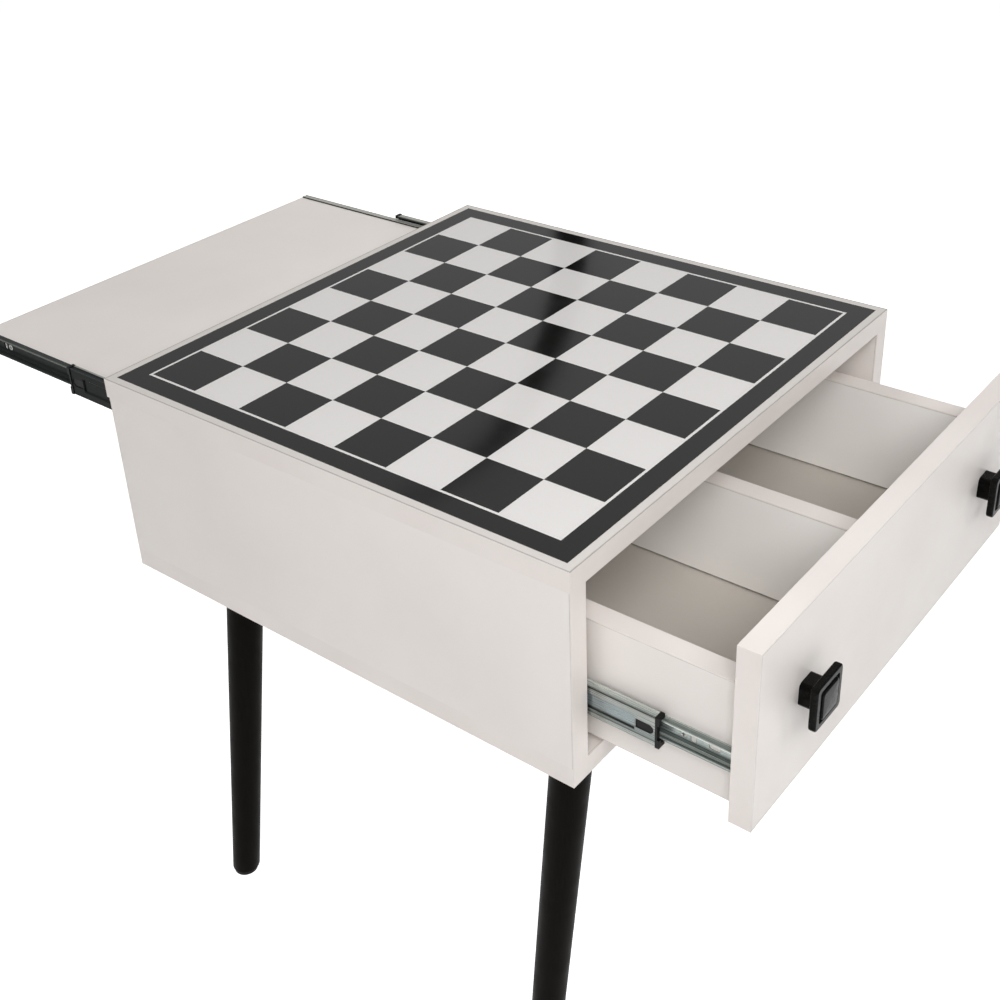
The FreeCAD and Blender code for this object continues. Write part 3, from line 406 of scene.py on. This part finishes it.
# The stripes hold painted highlights, and painted shade in the grooves, at the bends and under the lips
ZINC_STRIPES = {
    "cabinet": [(-17.5, ZINC_PALE), (-16, ZINC_GROOVE_SHADE), (-15, ZINC_WEB), (15, ZINC_WEB), (16, ZINC_GROOVE_SHADE),
                (17.5, ZINC_PALE)],
    "middle": [(-9.9, ZINC_FACE), (-9.6, ZINC_GROOVE_SHADE), (-8.6, ZINC_GROOVE_SHADE), (-8.3, ZINC_SHADED),
               (7.0, ZINC_FACE), (11.6, ZINC_FACE), (11.9, ZINC_SHADE_LINE), (13.2, ZINC_SHADE_LINE), (13.4, ZINC_FACE)],
    "inner": [(-8.7, ZINC_FACE), (-8.0, ZINC_SHADED), (-7.7, ZINC_HIGHLIGHT), (-7.3, ZINC_SHADED), (-4.0, ZINC_SHADED),
              (-2.6, ZINC_WEB), (7.4, ZINC_WEB), (8.0, ZINC_HIGHLIGHT)],
}
COAT_STRIPES = {
    "cabinet": [(-17.5, COAT_SHEEN_LOW), (-15, COAT_DARK), (15, COAT_DARK), (17.5, COAT_SHEEN_LOW)],
    "middle": [(-13.4, COAT_SHEEN_LOW), (-12.4, COAT_DARK), (12.4, COAT_DARK), (13.2, COAT_GREY)],
    "inner": [(-5.5, COAT_GREY), (-4.5, COAT_SHEEN_LOW), (0, COAT_SHEEN_LOW), (8.0, COAT_DARK), (8.5, COAT_SHEEN_MID)],
}
# Tones of a flange's upper face by its reach from the side panel in millimetres: painted reflections,
# highlights and shade lines
RAIL_DEEPEST = 12.7
ZINC_FLANGES = {
    "cabinet": [(0, ZINC_FACE), (9.6, ZINC_WEB)],
    "middle": [(2.2, ZINC_SHADED), (3.3, ZINC_PALE), (5.0, ZINC_PALE), (7.6, ZINC_HIGHLIGHT), (8.4, ZINC_HIGHLIGHT),
               (8.8, ZINC_WEB)],
    "inner": [(6.0, ZINC_HIGHLIGHT), (7.4, ZINC_WEB), (8.2, ZINC_SHADED), (9.4, ZINC_SHADED), (11.2, ZINC_WEB),
              (12.0, ZINC_PALE)],
}
COAT_FLANGES = {
    "cabinet": [(0, COAT_SHEEN_LOW), (9.6, COAT_GREY)],
    "middle": [(2.2, COAT_GREY), (2.8, COAT_SHEEN_LOW), (6.6, COAT_SHEEN_LOW), (7.2, COAT_SHEEN_HIGH), (9.3, COAT_PALE)],
    "inner": [(6.0, COAT_SHEEN_MID), (6.6, COAT_SHEEN_HIGH), (7.6, COAT_SHEEN_MID), (9.4, COAT_GREY)],
}
# The right-hand tray rails' flanges are painted with a brighter reflection
BRIGHT_SHEEN_FLANGES = {
    "cabinet": [(0, COAT_GREY), (9.6, COAT_SHEEN_MID)],
    "middle": [(2.2, COAT_PALE), (6.6, COAT_PALE), (8.0, COAT_SHEEN_HIGH), (9.3, COAT_GREY)],
    "inner": [(6.0, COAT_PALE)],
}
# The band that is sunk into the middle member's web: its tones by height, darker low down as painted shade,
# and the painted shade line at its bends
ZINC_BAND = [(-6, ZINC_SHADE_LINE), (-3.6, ZINC_BLUE)]
COAT_BAND = [(-6, COAT_DARK)]
BEND_SHADE = paint(*ZINC_SHADE_LINE)
WEB_HALF = 8 * MM
BEND_FROM = 0.15 * MM
BAND_FROM = 0.9 * MM
BAND_TO = 1.4 * MM
FLANGE_DEEP = 1.2 * MM
DEPTH_FADE = 0.1 * MM
# The sheet's surface
PLATING_CLOUDS = (40.0, 3.0, (1, 0.35, 1))
DULLED = (0.8, 0.8, 0.78)
ROLLER_LINES = (60.0, 3.0, (22, 0.4, 22))
ROLLER_LINE_DEPTH = 0.01 * MM
ZINC_METALLIC = 0.6
ZINC_ROUGHNESS = (0.22, 0.38)
COAT_IOR = 1.14
COAT_ROUGHNESS = (0.28, 0.42)


def striped(tree, distance, stripes, least, most):
    """A colour that changes with a distance, through stripes in millimetres from the least to the most."""
    ramp = add(tree, "ValToRGB", {"Fac": between(tree, distance, 0, 1, least * MM, most * MM)})
    steps = ramp.color_ramp.elements
    steps.remove(steps[1])
    for number, (at, colour) in enumerate(stripes):
        place = (at - least) / (most - least)
        step = steps.new(place) if number else steps[0]
        step.position = place
        step.color = paint(*colour)
    return ramp.outputs["Color"]


def by_height(tree, rise, stripes):
    """A colour that changes with the height from the middle of a rail."""
    return striped(tree, rise, stripes, -RAIL_TALLEST, RAIL_TALLEST)


def sheet_colour(tree, node, kind, stripes, flanges, band_stripes):
    """A rail's stripes, its flange's upper face, and on a middle member the sunk band and its bends.

    The band and the bends are told by their depth from the member's face. The stripes and the flange's tones
    are painted highlights, reflections and shade, and each bend is a painted shade line.
    """
    low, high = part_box(node)
    centre = (low + high) / 2
    x, _, z = add(tree, "SeparateXYZ", {"Vector": spot(tree)}).outputs
    rise = maths(tree, "SUBTRACT", z, centre.z)
    reach = maths(tree, "SUBTRACT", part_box("right_side_panel")[0].x, maths(tree, "ABSOLUTE", x))
    high_up = maths(tree, "GREATER_THAN", rise, (high.z - low.z) / 2 - FLANGE_DEEP)
    upper_face = maths(tree, "MULTIPLY", high_up, facing_up(tree))
    colour = tinted(tree, upper_face, by_height(tree, rise, stripes[kind]),
                    striped(tree, reach, flanges[kind], 0, RAIL_DEEPEST))
    if kind != "middle":
        return colour
    way = math.copysign(1, centre.x)
    outwards = maths(tree, "MULTIPLY", maths(tree, "SUBTRACT", x, centre.x), way)
    depth = maths(tree, "SUBTRACT", (high.x - low.x) / 2, outwards)
    near_web = maths(tree, "LESS_THAN", maths(tree, "ABSOLUTE", rise), WEB_HALF)
    shallow = maths(tree, "MULTIPLY", near_web, maths(tree, "LESS_THAN", depth, BAND_TO))
    bend = maths(tree, "MULTIPLY", shallow, between(tree, depth, 0, 1, BEND_FROM, BEND_FROM + DEPTH_FADE))
    band = maths(tree, "MULTIPLY", shallow, between(tree, depth, 0, 1, BAND_FROM, BAND_FROM + DEPTH_FADE))
    return tinted(tree, band, tinted(tree, bend, colour, BEND_SHADE), by_height(tree, rise, band_stripes))


def rolled_steel(node, colours, values, roughness):
    """Rolled steel sheet: cloudy plating, and fine lines along the rail, left by the rollers."""
    kind = node.split("_")[1]

    def build(tree):
        lines = clouds(tree, *ROLLER_LINES)
        # The sheet's colour carries painted highlights, reflections and shade
        sheet = sheet_colour(tree, node, kind, *colours)
        dusty = vector_maths(tree, "MULTIPLY", sheet, DULLED)
        colour = mottled(tree, clouds(tree, *PLATING_CLOUDS), sheet, dusty)
        return colour, between(tree, lines, *roughness), [(lines, ROLLER_LINE_DEPTH)]
    return finish(node, values, build)


def zinc_steel(node):
    """Zinc-plated rails of the drawer."""
    colours = (ZINC_STRIPES, ZINC_FLANGES, ZINC_BAND)
    return rolled_steel(node, colours, {"Metallic": ZINC_METALLIC}, ZINC_ROUGHNESS)


def black_steel(node):
    """Black-coated rails of the tray."""
    # The right-hand rails get a brighter painted reflection on their flanges
    flanges = BRIGHT_SHEEN_FLANGES if node.endswith("right") else COAT_FLANGES
    return rolled_steel(node, (COAT_STRIPES, flanges, COAT_BAND), {"IOR": COAT_IOR}, COAT_ROUGHNESS)


# Fasteners, balls and dowels
FASTENER_TONES = (paint(160, 165, 164), paint(186, 187, 180))
FASTENER_CLOUDS = (260.0, 3.0)
FASTENER_PATCHES = (900.0,)
FASTENER_ROUGHNESS = (0.22, 0.4)
FASTENER_GRAIN = (1200.0,)
FASTENER_GRAIN_DEPTH = 0.01 * MM
BALL_TONES = (paint(212, 212, 210), paint(190, 186, 174))
BALL_ROUGHNESS = (0.08, 0.3)
GREASE = (120.0, 3.0)
BEECH_TONES = (paint(196, 158, 116), paint(214, 180, 140))
BEECH_ROUGHNESS = (0.5, 0.65)
BEECH_GLOSS = 0.3
BEECH_GRAIN = (300.0, 3.0, (1, 1, 0.15))


def fastener_steel(node):
    """Zinc-plated fasteners with a slight yellow tint."""
    def build(tree):
        colour = mottled(tree, clouds(tree, *FASTENER_CLOUDS), *FASTENER_TONES)
        roughness = between(tree, clouds(tree, *FASTENER_PATCHES), *FASTENER_ROUGHNESS)
        return colour, roughness, [(clouds(tree, *FASTENER_GRAIN), FASTENER_GRAIN_DEPTH)]
    return finish("fastener_steel_" + node, {"Metallic": 1.0}, build)


def ball_steel(node):
    """Polished balls in plain steel cages, with a film of grease that dulls them in places."""
    def build(tree):
        grease = clouds(tree, *GREASE)
        return mottled(tree, grease, *BALL_TONES), between(tree, grease, *BALL_ROUGHNESS), []
    return finish("ball_steel_" + node, {"Metallic": 1.0}, build)


def dowel_beech(node):
    """Plain beech with its grain along the dowel."""
    def build(tree):
        grain = clouds(tree, *BEECH_GRAIN)
        return mottled(tree, grain, *BEECH_TONES), between(tree, grain, *BEECH_ROUGHNESS), []
    return finish("dowel_beech_" + node, {"Specular IOR Level": BEECH_GLOSS}, build)


# Each material slot's finish
FINISHES = {
    "white_laminate": white_laminate,
    "edge_band": edge_band,
    "board_white": board_white,
    "board_black": board_black,
    "hardboard": hardboard,
    "leg_black": leg_black,
    "leg_plate_steel": leg_plate_steel,
    "glide_plastic": black_plastic,
    "knob_black": knob_black,
    "zinc_steel": zinc_steel,
    "black_steel": black_steel,
    "rail_plastic": black_plastic,
    "ball_steel": ball_steel,
    "fastener_steel": fastener_steel,
    "dowel_beech": dowel_beech,
}
for name, slot in slot_of.items():
    nodes[name].material_slots[0].material = FINISHES[slot](name)


# New pieces: surfaces carried through rings, worked out as whole arrays
ROUND_STEPS = 6
QUARTER = np.linspace(0, np.pi / 2, ROUND_STEPS)


def lofted(name, rings):
    """A closed shell through rings of points: quads between each ring and the next, and a cap at each end.

    rings has the shape (stations, points round a ring, 3).
    """
    stations, count, _ = rings.shape
    index = np.arange(stations * count).reshape(stations, count)
    ahead = np.roll(index, -1, axis=1)
    quads = np.stack([index[:-1], ahead[:-1], ahead[1:], index[1:]], axis=-1).reshape(-1, 4)
    caps = [index[0].tolist(), index[-1].tolist()]
    mesh = bpy.data.meshes.new(name)
    mesh.from_pydata(rings.reshape(-1, 3).tolist(), [], quads.tolist() + caps)
    shell = bmesh.new()
    shell.from_mesh(mesh)
    bmesh.ops.recalc_face_normals(shell, faces=shell.faces)
    shell.to_mesh(mesh)
    shell.free()
    mesh.shade_smooth()
    piece = bpy.data.objects.new(name, mesh)
    bpy.context.scene.collection.objects.link(piece)
    piece.modifiers.new("shading", "WEIGHTED_NORMAL")
    return piece


def stand_for(piece, node):
    """Let a piece stand for a node of the model: its body and its finish."""
    body = next(body for body, members in frame["record"]["behaviour"]["bodies"].items() if node in members)
    piece.data.materials.append(nodes[node].material_slots[0].material)
    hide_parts(node)
    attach(piece, body)


# Legs
LEG_SPLAY = math.radians(9.3)
LEG_TOP_RADIUS = 18.5 * MM
LEG_FOOT_RADIUS = 13.8 * MM
LEG_START = 12 * MM
LEG_INSET = 81 * MM
LEG_ROUND = 2 * MM
FOOT_ROUND = 1 * MM
LEG_SIDES = 72
LEG_STATIONS = 24
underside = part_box("bottom_panel")[0].z
half_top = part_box("top_edge_bands")[1].x


def leg(node, way):
    """A turned leg that leans out to one side.

    Round each ring the angle a runs full circle. A point is the axis at the distance s from the box, plus the
    radius r(s) = top + slope * s turned by a. The top edge is a quarter round. Each line down the flank ends
    where it meets the level of the glide, so the foot is cut flat though the leg leans.
    """
    low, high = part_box(node)
    axis = np.array((way * math.sin(LEG_SPLAY), 0, -math.cos(LEG_SPLAY)))
    across = np.array((way * math.cos(LEG_SPLAY), 0, math.sin(LEG_SPLAY)))
    along = np.array((0, 1, 0))
    top = np.array((way * (half_top - LEG_INSET), (low.y + high.y) / 2, underside))
    slope = (LEG_FOOT_RADIUS - LEG_TOP_RADIUS) * math.cos(LEG_SPLAY) / underside
    angle = np.linspace(0, 2 * np.pi, LEG_SIDES, endpoint=False)[None, :]
    lean = np.cos(angle) * math.sin(LEG_SPLAY)

    def reach(level):
        """How far down the axis each line of the flank meets a level."""
        return (underside - level + LEG_TOP_RADIUS * lean) / (math.cos(LEG_SPLAY) - slope * lean)

    turn = QUARTER[:, None]
    edge = LEG_START + LEG_ROUND * (1 - np.cos(turn)) + 0 * angle
    edge_inset = LEG_ROUND * (1 - np.sin(turn)) + 0 * angle
    share = np.linspace(0, 1, LEG_STATIONS)[1:, None]
    flank = edge[-1] + share * (reach(low.z + FOOT_ROUND) - edge[-1])
    foot = reach(low.z)
    distance = np.concatenate([edge, flank, foot])
    inset = np.concatenate([edge_inset, 0 * flank, FOOT_ROUND + 0 * foot])
    radius = LEG_TOP_RADIUS + slope * distance - inset
    round_the_axis = np.cos(angle)[..., None] * across + np.sin(angle)[..., None] * along
    rings = top + distance[..., None] * axis + radius[..., None] * round_the_axis
    rings[-1, :, 2] = low.z
    stand_for(lofted(node + "_turned", rings), node)


for row in ("front", "rear"):
    leg(f"leg_{row}_left", -1)
    leg(f"leg_{row}_right", 1)


# Knobs
STEM_HALF = 10 * MM
STEM_CORNER = 4 * MM
PLATE_CORNER = 3.6 * MM
PLATE_THICK = 6 * MM
RIM = 5 * MM
GROOVE = 2.3 * MM
GROOVE_DEPTH = 2 * MM
PAD_RISE = 1.5 * MM
PAD_CROWN = 0.35 * MM
EDGE_ROUND = 1.3 * MM
LIP_ROUND = 0.4 * MM
CORNER_STEPS = 9
CROWN_SHARES = (0.25, 0.5, 0.75, 0.95)


def rounded_squares(half, corner):
    """Rings round squares: four quarter circles of the corner radius, joined by straight sides.

    The half widths and the corner radii come as columns, one row for each ring. Each quarter circle turns
    about a centre on the square's diagonal. The result is the points' places across and upwards.
    """
    quarter = np.linspace(0, np.pi / 2, CORNER_STEPS)
    angle = np.concatenate([quarter + np.pi / 2 * turn for turn in range(4)])
    diagonal = np.repeat(np.arange(4) * np.pi / 2 + np.pi / 4, CORNER_STEPS)
    reach = (half - corner) * math.sqrt(2)
    across = reach * np.cos(diagonal) + corner * np.cos(angle)
    upwards = reach * np.sin(diagonal) + corner * np.sin(angle)
    return across, upwards


def round_from_level(half, height, radius, out, up):
    """Stations (half width, height) on a quarter circle that starts level and ends upright."""
    return [(half + out * radius * math.sin(a), height + up * radius * (1 - math.cos(a))) for a in QUARTER]


def round_from_upright(half, height, radius, out, up):
    """Stations on a quarter circle that starts upright and ends level."""
    return [(half + out * radius * (1 - math.cos(a)), height + up * radius * math.sin(a)) for a in QUARTER]


def knob(node):
    """A square knob: rounded squares carried along a section of (half width, height above the drawer front).

    The section runs up the stem, out along the plate's back, round its edge, over the rim, down into the
    groove, up the pad's side and over its crown. The crown falls away from the middle with the square of the
    distance. The corners of the plate and the pad are in proportion to their width.
    """
    low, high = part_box(node)
    middle = (low + high) / 2
    half = (high.x - low.x) / 2
    peak = high.y - low.y
    face = peak - PAD_RISE
    back = face - PLATE_THICK
    groove_outer = half - RIM
    pad_half = groove_outer - GROOVE
    floor = face - GROOVE_DEPTH
    pad_edge = peak - PAD_CROWN
    stem = [(STEM_HALF, 0), (STEM_HALF, back)]
    plate = round_from_level(half - EDGE_ROUND, back, EDGE_ROUND, 1, 1)
    plate += round_from_upright(half, face - EDGE_ROUND, EDGE_ROUND, -1, 1)
    plate += round_from_level(groove_outer + LIP_ROUND, face, LIP_ROUND, -1, -1)
    plate += [(groove_outer, floor), (pad_half, floor)]
    plate += round_from_upright(pad_half, pad_edge - EDGE_ROUND, EDGE_ROUND, -1, 1)
    crown_half = pad_half - EDGE_ROUND
    for share in CROWN_SHARES:
        plate.append((crown_half * (1 - share), pad_edge + PAD_CROWN * (1 - (1 - share) ** 2)))
    section = [(width, height, STEM_CORNER) for width, height in stem]
    section += [(width, height, PLATE_CORNER * width / half) for width, height in plate]
    width, height, corner = np.array(section).T[..., None]
    across, upwards = rounded_squares(width, corner)
    rings = np.stack([middle.x + across, high.y - height + 0 * across, middle.z + upwards], axis=-1)
    stand_for(lofted(node + "_cast", rings), node)


for side in ("left", "right"):
    knob(f"knob_{side}")


# Stage: a white floor, and a grey studio wall with a dark slit that only reflections see
FLOOR_HALF = 30.0
FLOOR_GLOW = 0.82
FLOOR_WHITE = (0.85, 0.85, 0.85, 1)
FLOOR_ROUGHNESS = 0.9
WHITE = (1, 1, 1, 1)
WALL_RADIUS = 3.0
WALL_HEIGHT = 4.0
WALL_ROWS = 101
WALL_COLUMNS = 73
WALL_DIM = 0.42
WALL_BRIGHT = 0.54
DIM_AT = 1.4
BRIGHT_AT = 2.8
SLIT_AT = math.radians(34.2)
SLIT_HALF = math.radians(1.0)
SLIT_BACK_HALF = math.radians(6.0)
SLIT_LOW = 1.675
SLIT_BEND = math.radians(8.5)
CURL_LOW = 2.4
CURL_MOST = 0.5
SLIT_CURL = math.radians(38.0)
SLIT_GAP = 0.05


def grid_mesh(name, points):
    """An open sheet of quads over a grid of points of the shape (rows, columns, 3)."""
    rows, columns, _ = points.shape
    index = np.arange(rows * columns).reshape(rows, columns)
    quads = np.stack([index[:-1, :-1], index[:-1, 1:], index[1:, 1:], index[1:, :-1]], axis=-1).reshape(-1, 4)
    mesh = bpy.data.meshes.new(name)
    mesh.from_pydata(points.reshape(-1, 3).tolist(), [], quads.tolist())
    sheet = bpy.data.objects.new(name, mesh)
    bpy.context.scene.collection.objects.link(sheet)
    return sheet


def seen_rays(tree):
    """1 for rays of the eye, of gloss and of glass, and 0 for the rays that light the object."""
    rays = add(tree, "LightPath").outputs
    shiny = maths(tree, "MAXIMUM", rays["Is Camera Ray"], rays["Is Glossy Ray"])
    return maths(tree, "MAXIMUM", shiny, rays["Is Transmission Ray"])


def studio_floor():
    """A level white floor that takes shadows, and glows to the eye and in reflections to look white."""
    side = np.array((-FLOOR_HALF, FLOOR_HALF))
    x, y = np.meshgrid(side, side)
    floor = grid_mesh("floor", np.stack([x, y, 0 * x], axis=-1))
    material = bpy.data.materials.new("floor")
    material.use_nodes = True
    tree = material.node_tree
    shader = tree.nodes["Principled BSDF"]
    shader.inputs["Base Color"].default_value = FLOOR_WHITE
    shader.inputs["Roughness"].default_value = FLOOR_ROUGHNESS
    shader.inputs["Specular IOR Level"].default_value = 0.0
    shader.inputs["Emission Color"].default_value = WHITE
    tree.links.new(between(tree, seen_rays(tree), 0.0, FLOOR_GLOW, 0, 1), shader.inputs["Emission Strength"])
    floor.data.materials.append(material)


def studio_wall(name, first, last, radius, dim, bright):
    """A round wall, between two angles from a slit that bends, which glows from dim to bright along X.

    The slit's angle grows with the square of the height over one level, and curls with the square of the
    height over a second level, up to a limit.
    """
    height = np.linspace(0, WALL_HEIGHT, WALL_ROWS)[:, None]
    bend = SLIT_AT + SLIT_BEND * np.maximum(height - SLIT_LOW, 0) ** 2
    bend = bend + SLIT_CURL * np.clip(height - CURL_LOW, 0, CURL_MOST) ** 2
    angle = bend + np.linspace(first, last, WALL_COLUMNS)[None, :]
    points = np.stack([radius * np.cos(angle), radius * np.sin(angle), height + 0 * angle], axis=-1)
    wall = grid_mesh(name, points)
    wall.visible_camera = False
    wall.visible_diffuse = False
    wall.visible_transmission = False
    wall.visible_shadow = False
    material = bpy.data.materials.new(name)
    material.use_nodes = True
    tree = material.node_tree
    tree.nodes.clear()
    along = add(tree, "SeparateXYZ", {"Vector": spot(tree)}).outputs["X"]
    glow = between(tree, along, dim, bright, DIM_AT, BRIGHT_AT)
    light = add(tree, "Emission", {"Color": WHITE, "Strength": glow})
    output = add(tree, "OutputMaterial")
    tree.links.new(light.outputs[0], output.inputs["Surface"])
    wall.data.materials.append(material)


studio_floor()
studio_wall("studio_wall", SLIT_HALF, 2 * math.pi - SLIT_HALF, WALL_RADIUS, WALL_DIM, WALL_BRIGHT)
studio_wall("studio_slit", -SLIT_BACK_HALF, SLIT_BACK_HALF, WALL_RADIUS + SLIT_GAP, 0.0, 0.0)


# Light: an even white surround, a key to the right of the drawer, a tall main softbox beside the camera,
# a small one that looks into the drawer, a broad fill from the left and a light from the rear right
SURROUND = 0.2
KEY_POWER = 14.0
MAIN_POWER = 17.2
FRONT_POWER = 3.8
LEFT_POWER = 6.2
REAR_POWER = 14.0
LAMPS = {
    # name: power, width, height, place, aim
    "key": (KEY_POWER, 0.9, 0.9, (1.67, -2.61, 2.30), (0.0, -0.3, 0.42)),
    "main": (MAIN_POWER, 0.65, 1.0, (-1.15, -1.03, 1.72), (0.0, -0.3, 0.45)),
    "front": (FRONT_POWER, 0.5, 0.5, (-0.4, -1.12, 1.42), (0.0, -0.3, 0.45)),
    "left": (LEFT_POWER, 1.2, 1.2, (-2.2, -0.2, 1.2), (-0.2, 0.0, 0.45)),
    "rear": (REAR_POWER, 1.0, 1.0, (1.2, 1.2, 1.8), (0.0, 0.1, 0.5)),
}


def surround():
    """A white background to the eye and in reflections, and an even light on the object."""
    world = bpy.data.worlds.new("surround")
    world.use_nodes = True
    tree = world.node_tree
    background = tree.nodes["Background"]
    background.inputs["Color"].default_value = WHITE
    tree.links.new(between(tree, seen_rays(tree), SURROUND, 1.0, 0, 1), background.inputs["Strength"])
    bpy.context.scene.world = world


def lamp(name, power, width, height, at, aim):
    """A softbox, left out of reflections so that it draws no bright patch."""
    softbox = bpy.data.lights.new(name, "AREA")
    softbox.shape = "RECTANGLE"
    softbox.energy = power
    softbox.size = width
    softbox.size_y = height
    holder = bpy.data.objects.new(name, softbox)
    holder.location = at
    holder.rotation_euler = (Vector(aim) - Vector(at)).to_track_quat("-Z", "Y").to_euler()
    holder.visible_glossy = False
    bpy.context.scene.collection.objects.link(holder)


surround()
for name, row in LAMPS.items():
    lamp(name, *row)


# Camera, at the place and angle that the board's grid gives
CAMERA_AT = Vector((-0.86385, -0.74136, 1.12631))
CAMERA_RIGHT = Vector((0.61391, -0.78851, -0.03702))
CAMERA_AHEAD = Vector((0.68275, 0.55394, -0.47645))
LENS = 49.92
SHIFT = (-0.0085, -0.1063)


def camera():
    """The photograph's view: its right and forward directions give the up direction."""
    up = CAMERA_RIGHT.cross(CAMERA_AHEAD)
    turn = Matrix((CAMERA_RIGHT, up, -CAMERA_AHEAD)).transposed().to_4x4()
    eye = bpy.data.objects.new("camera", bpy.data.cameras.new("camera"))
    eye.matrix_world = Matrix.Translation(CAMERA_AT) @ turn
    eye.data.lens = LENS
    eye.data.shift_x, eye.data.shift_y = SHIFT
    bpy.context.scene.collection.objects.link(eye)
    bpy.context.scene.camera = eye


camera()
bpy.context.scene.view_settings.view_transform = "Standard"

bpy.context.view_layer.update()
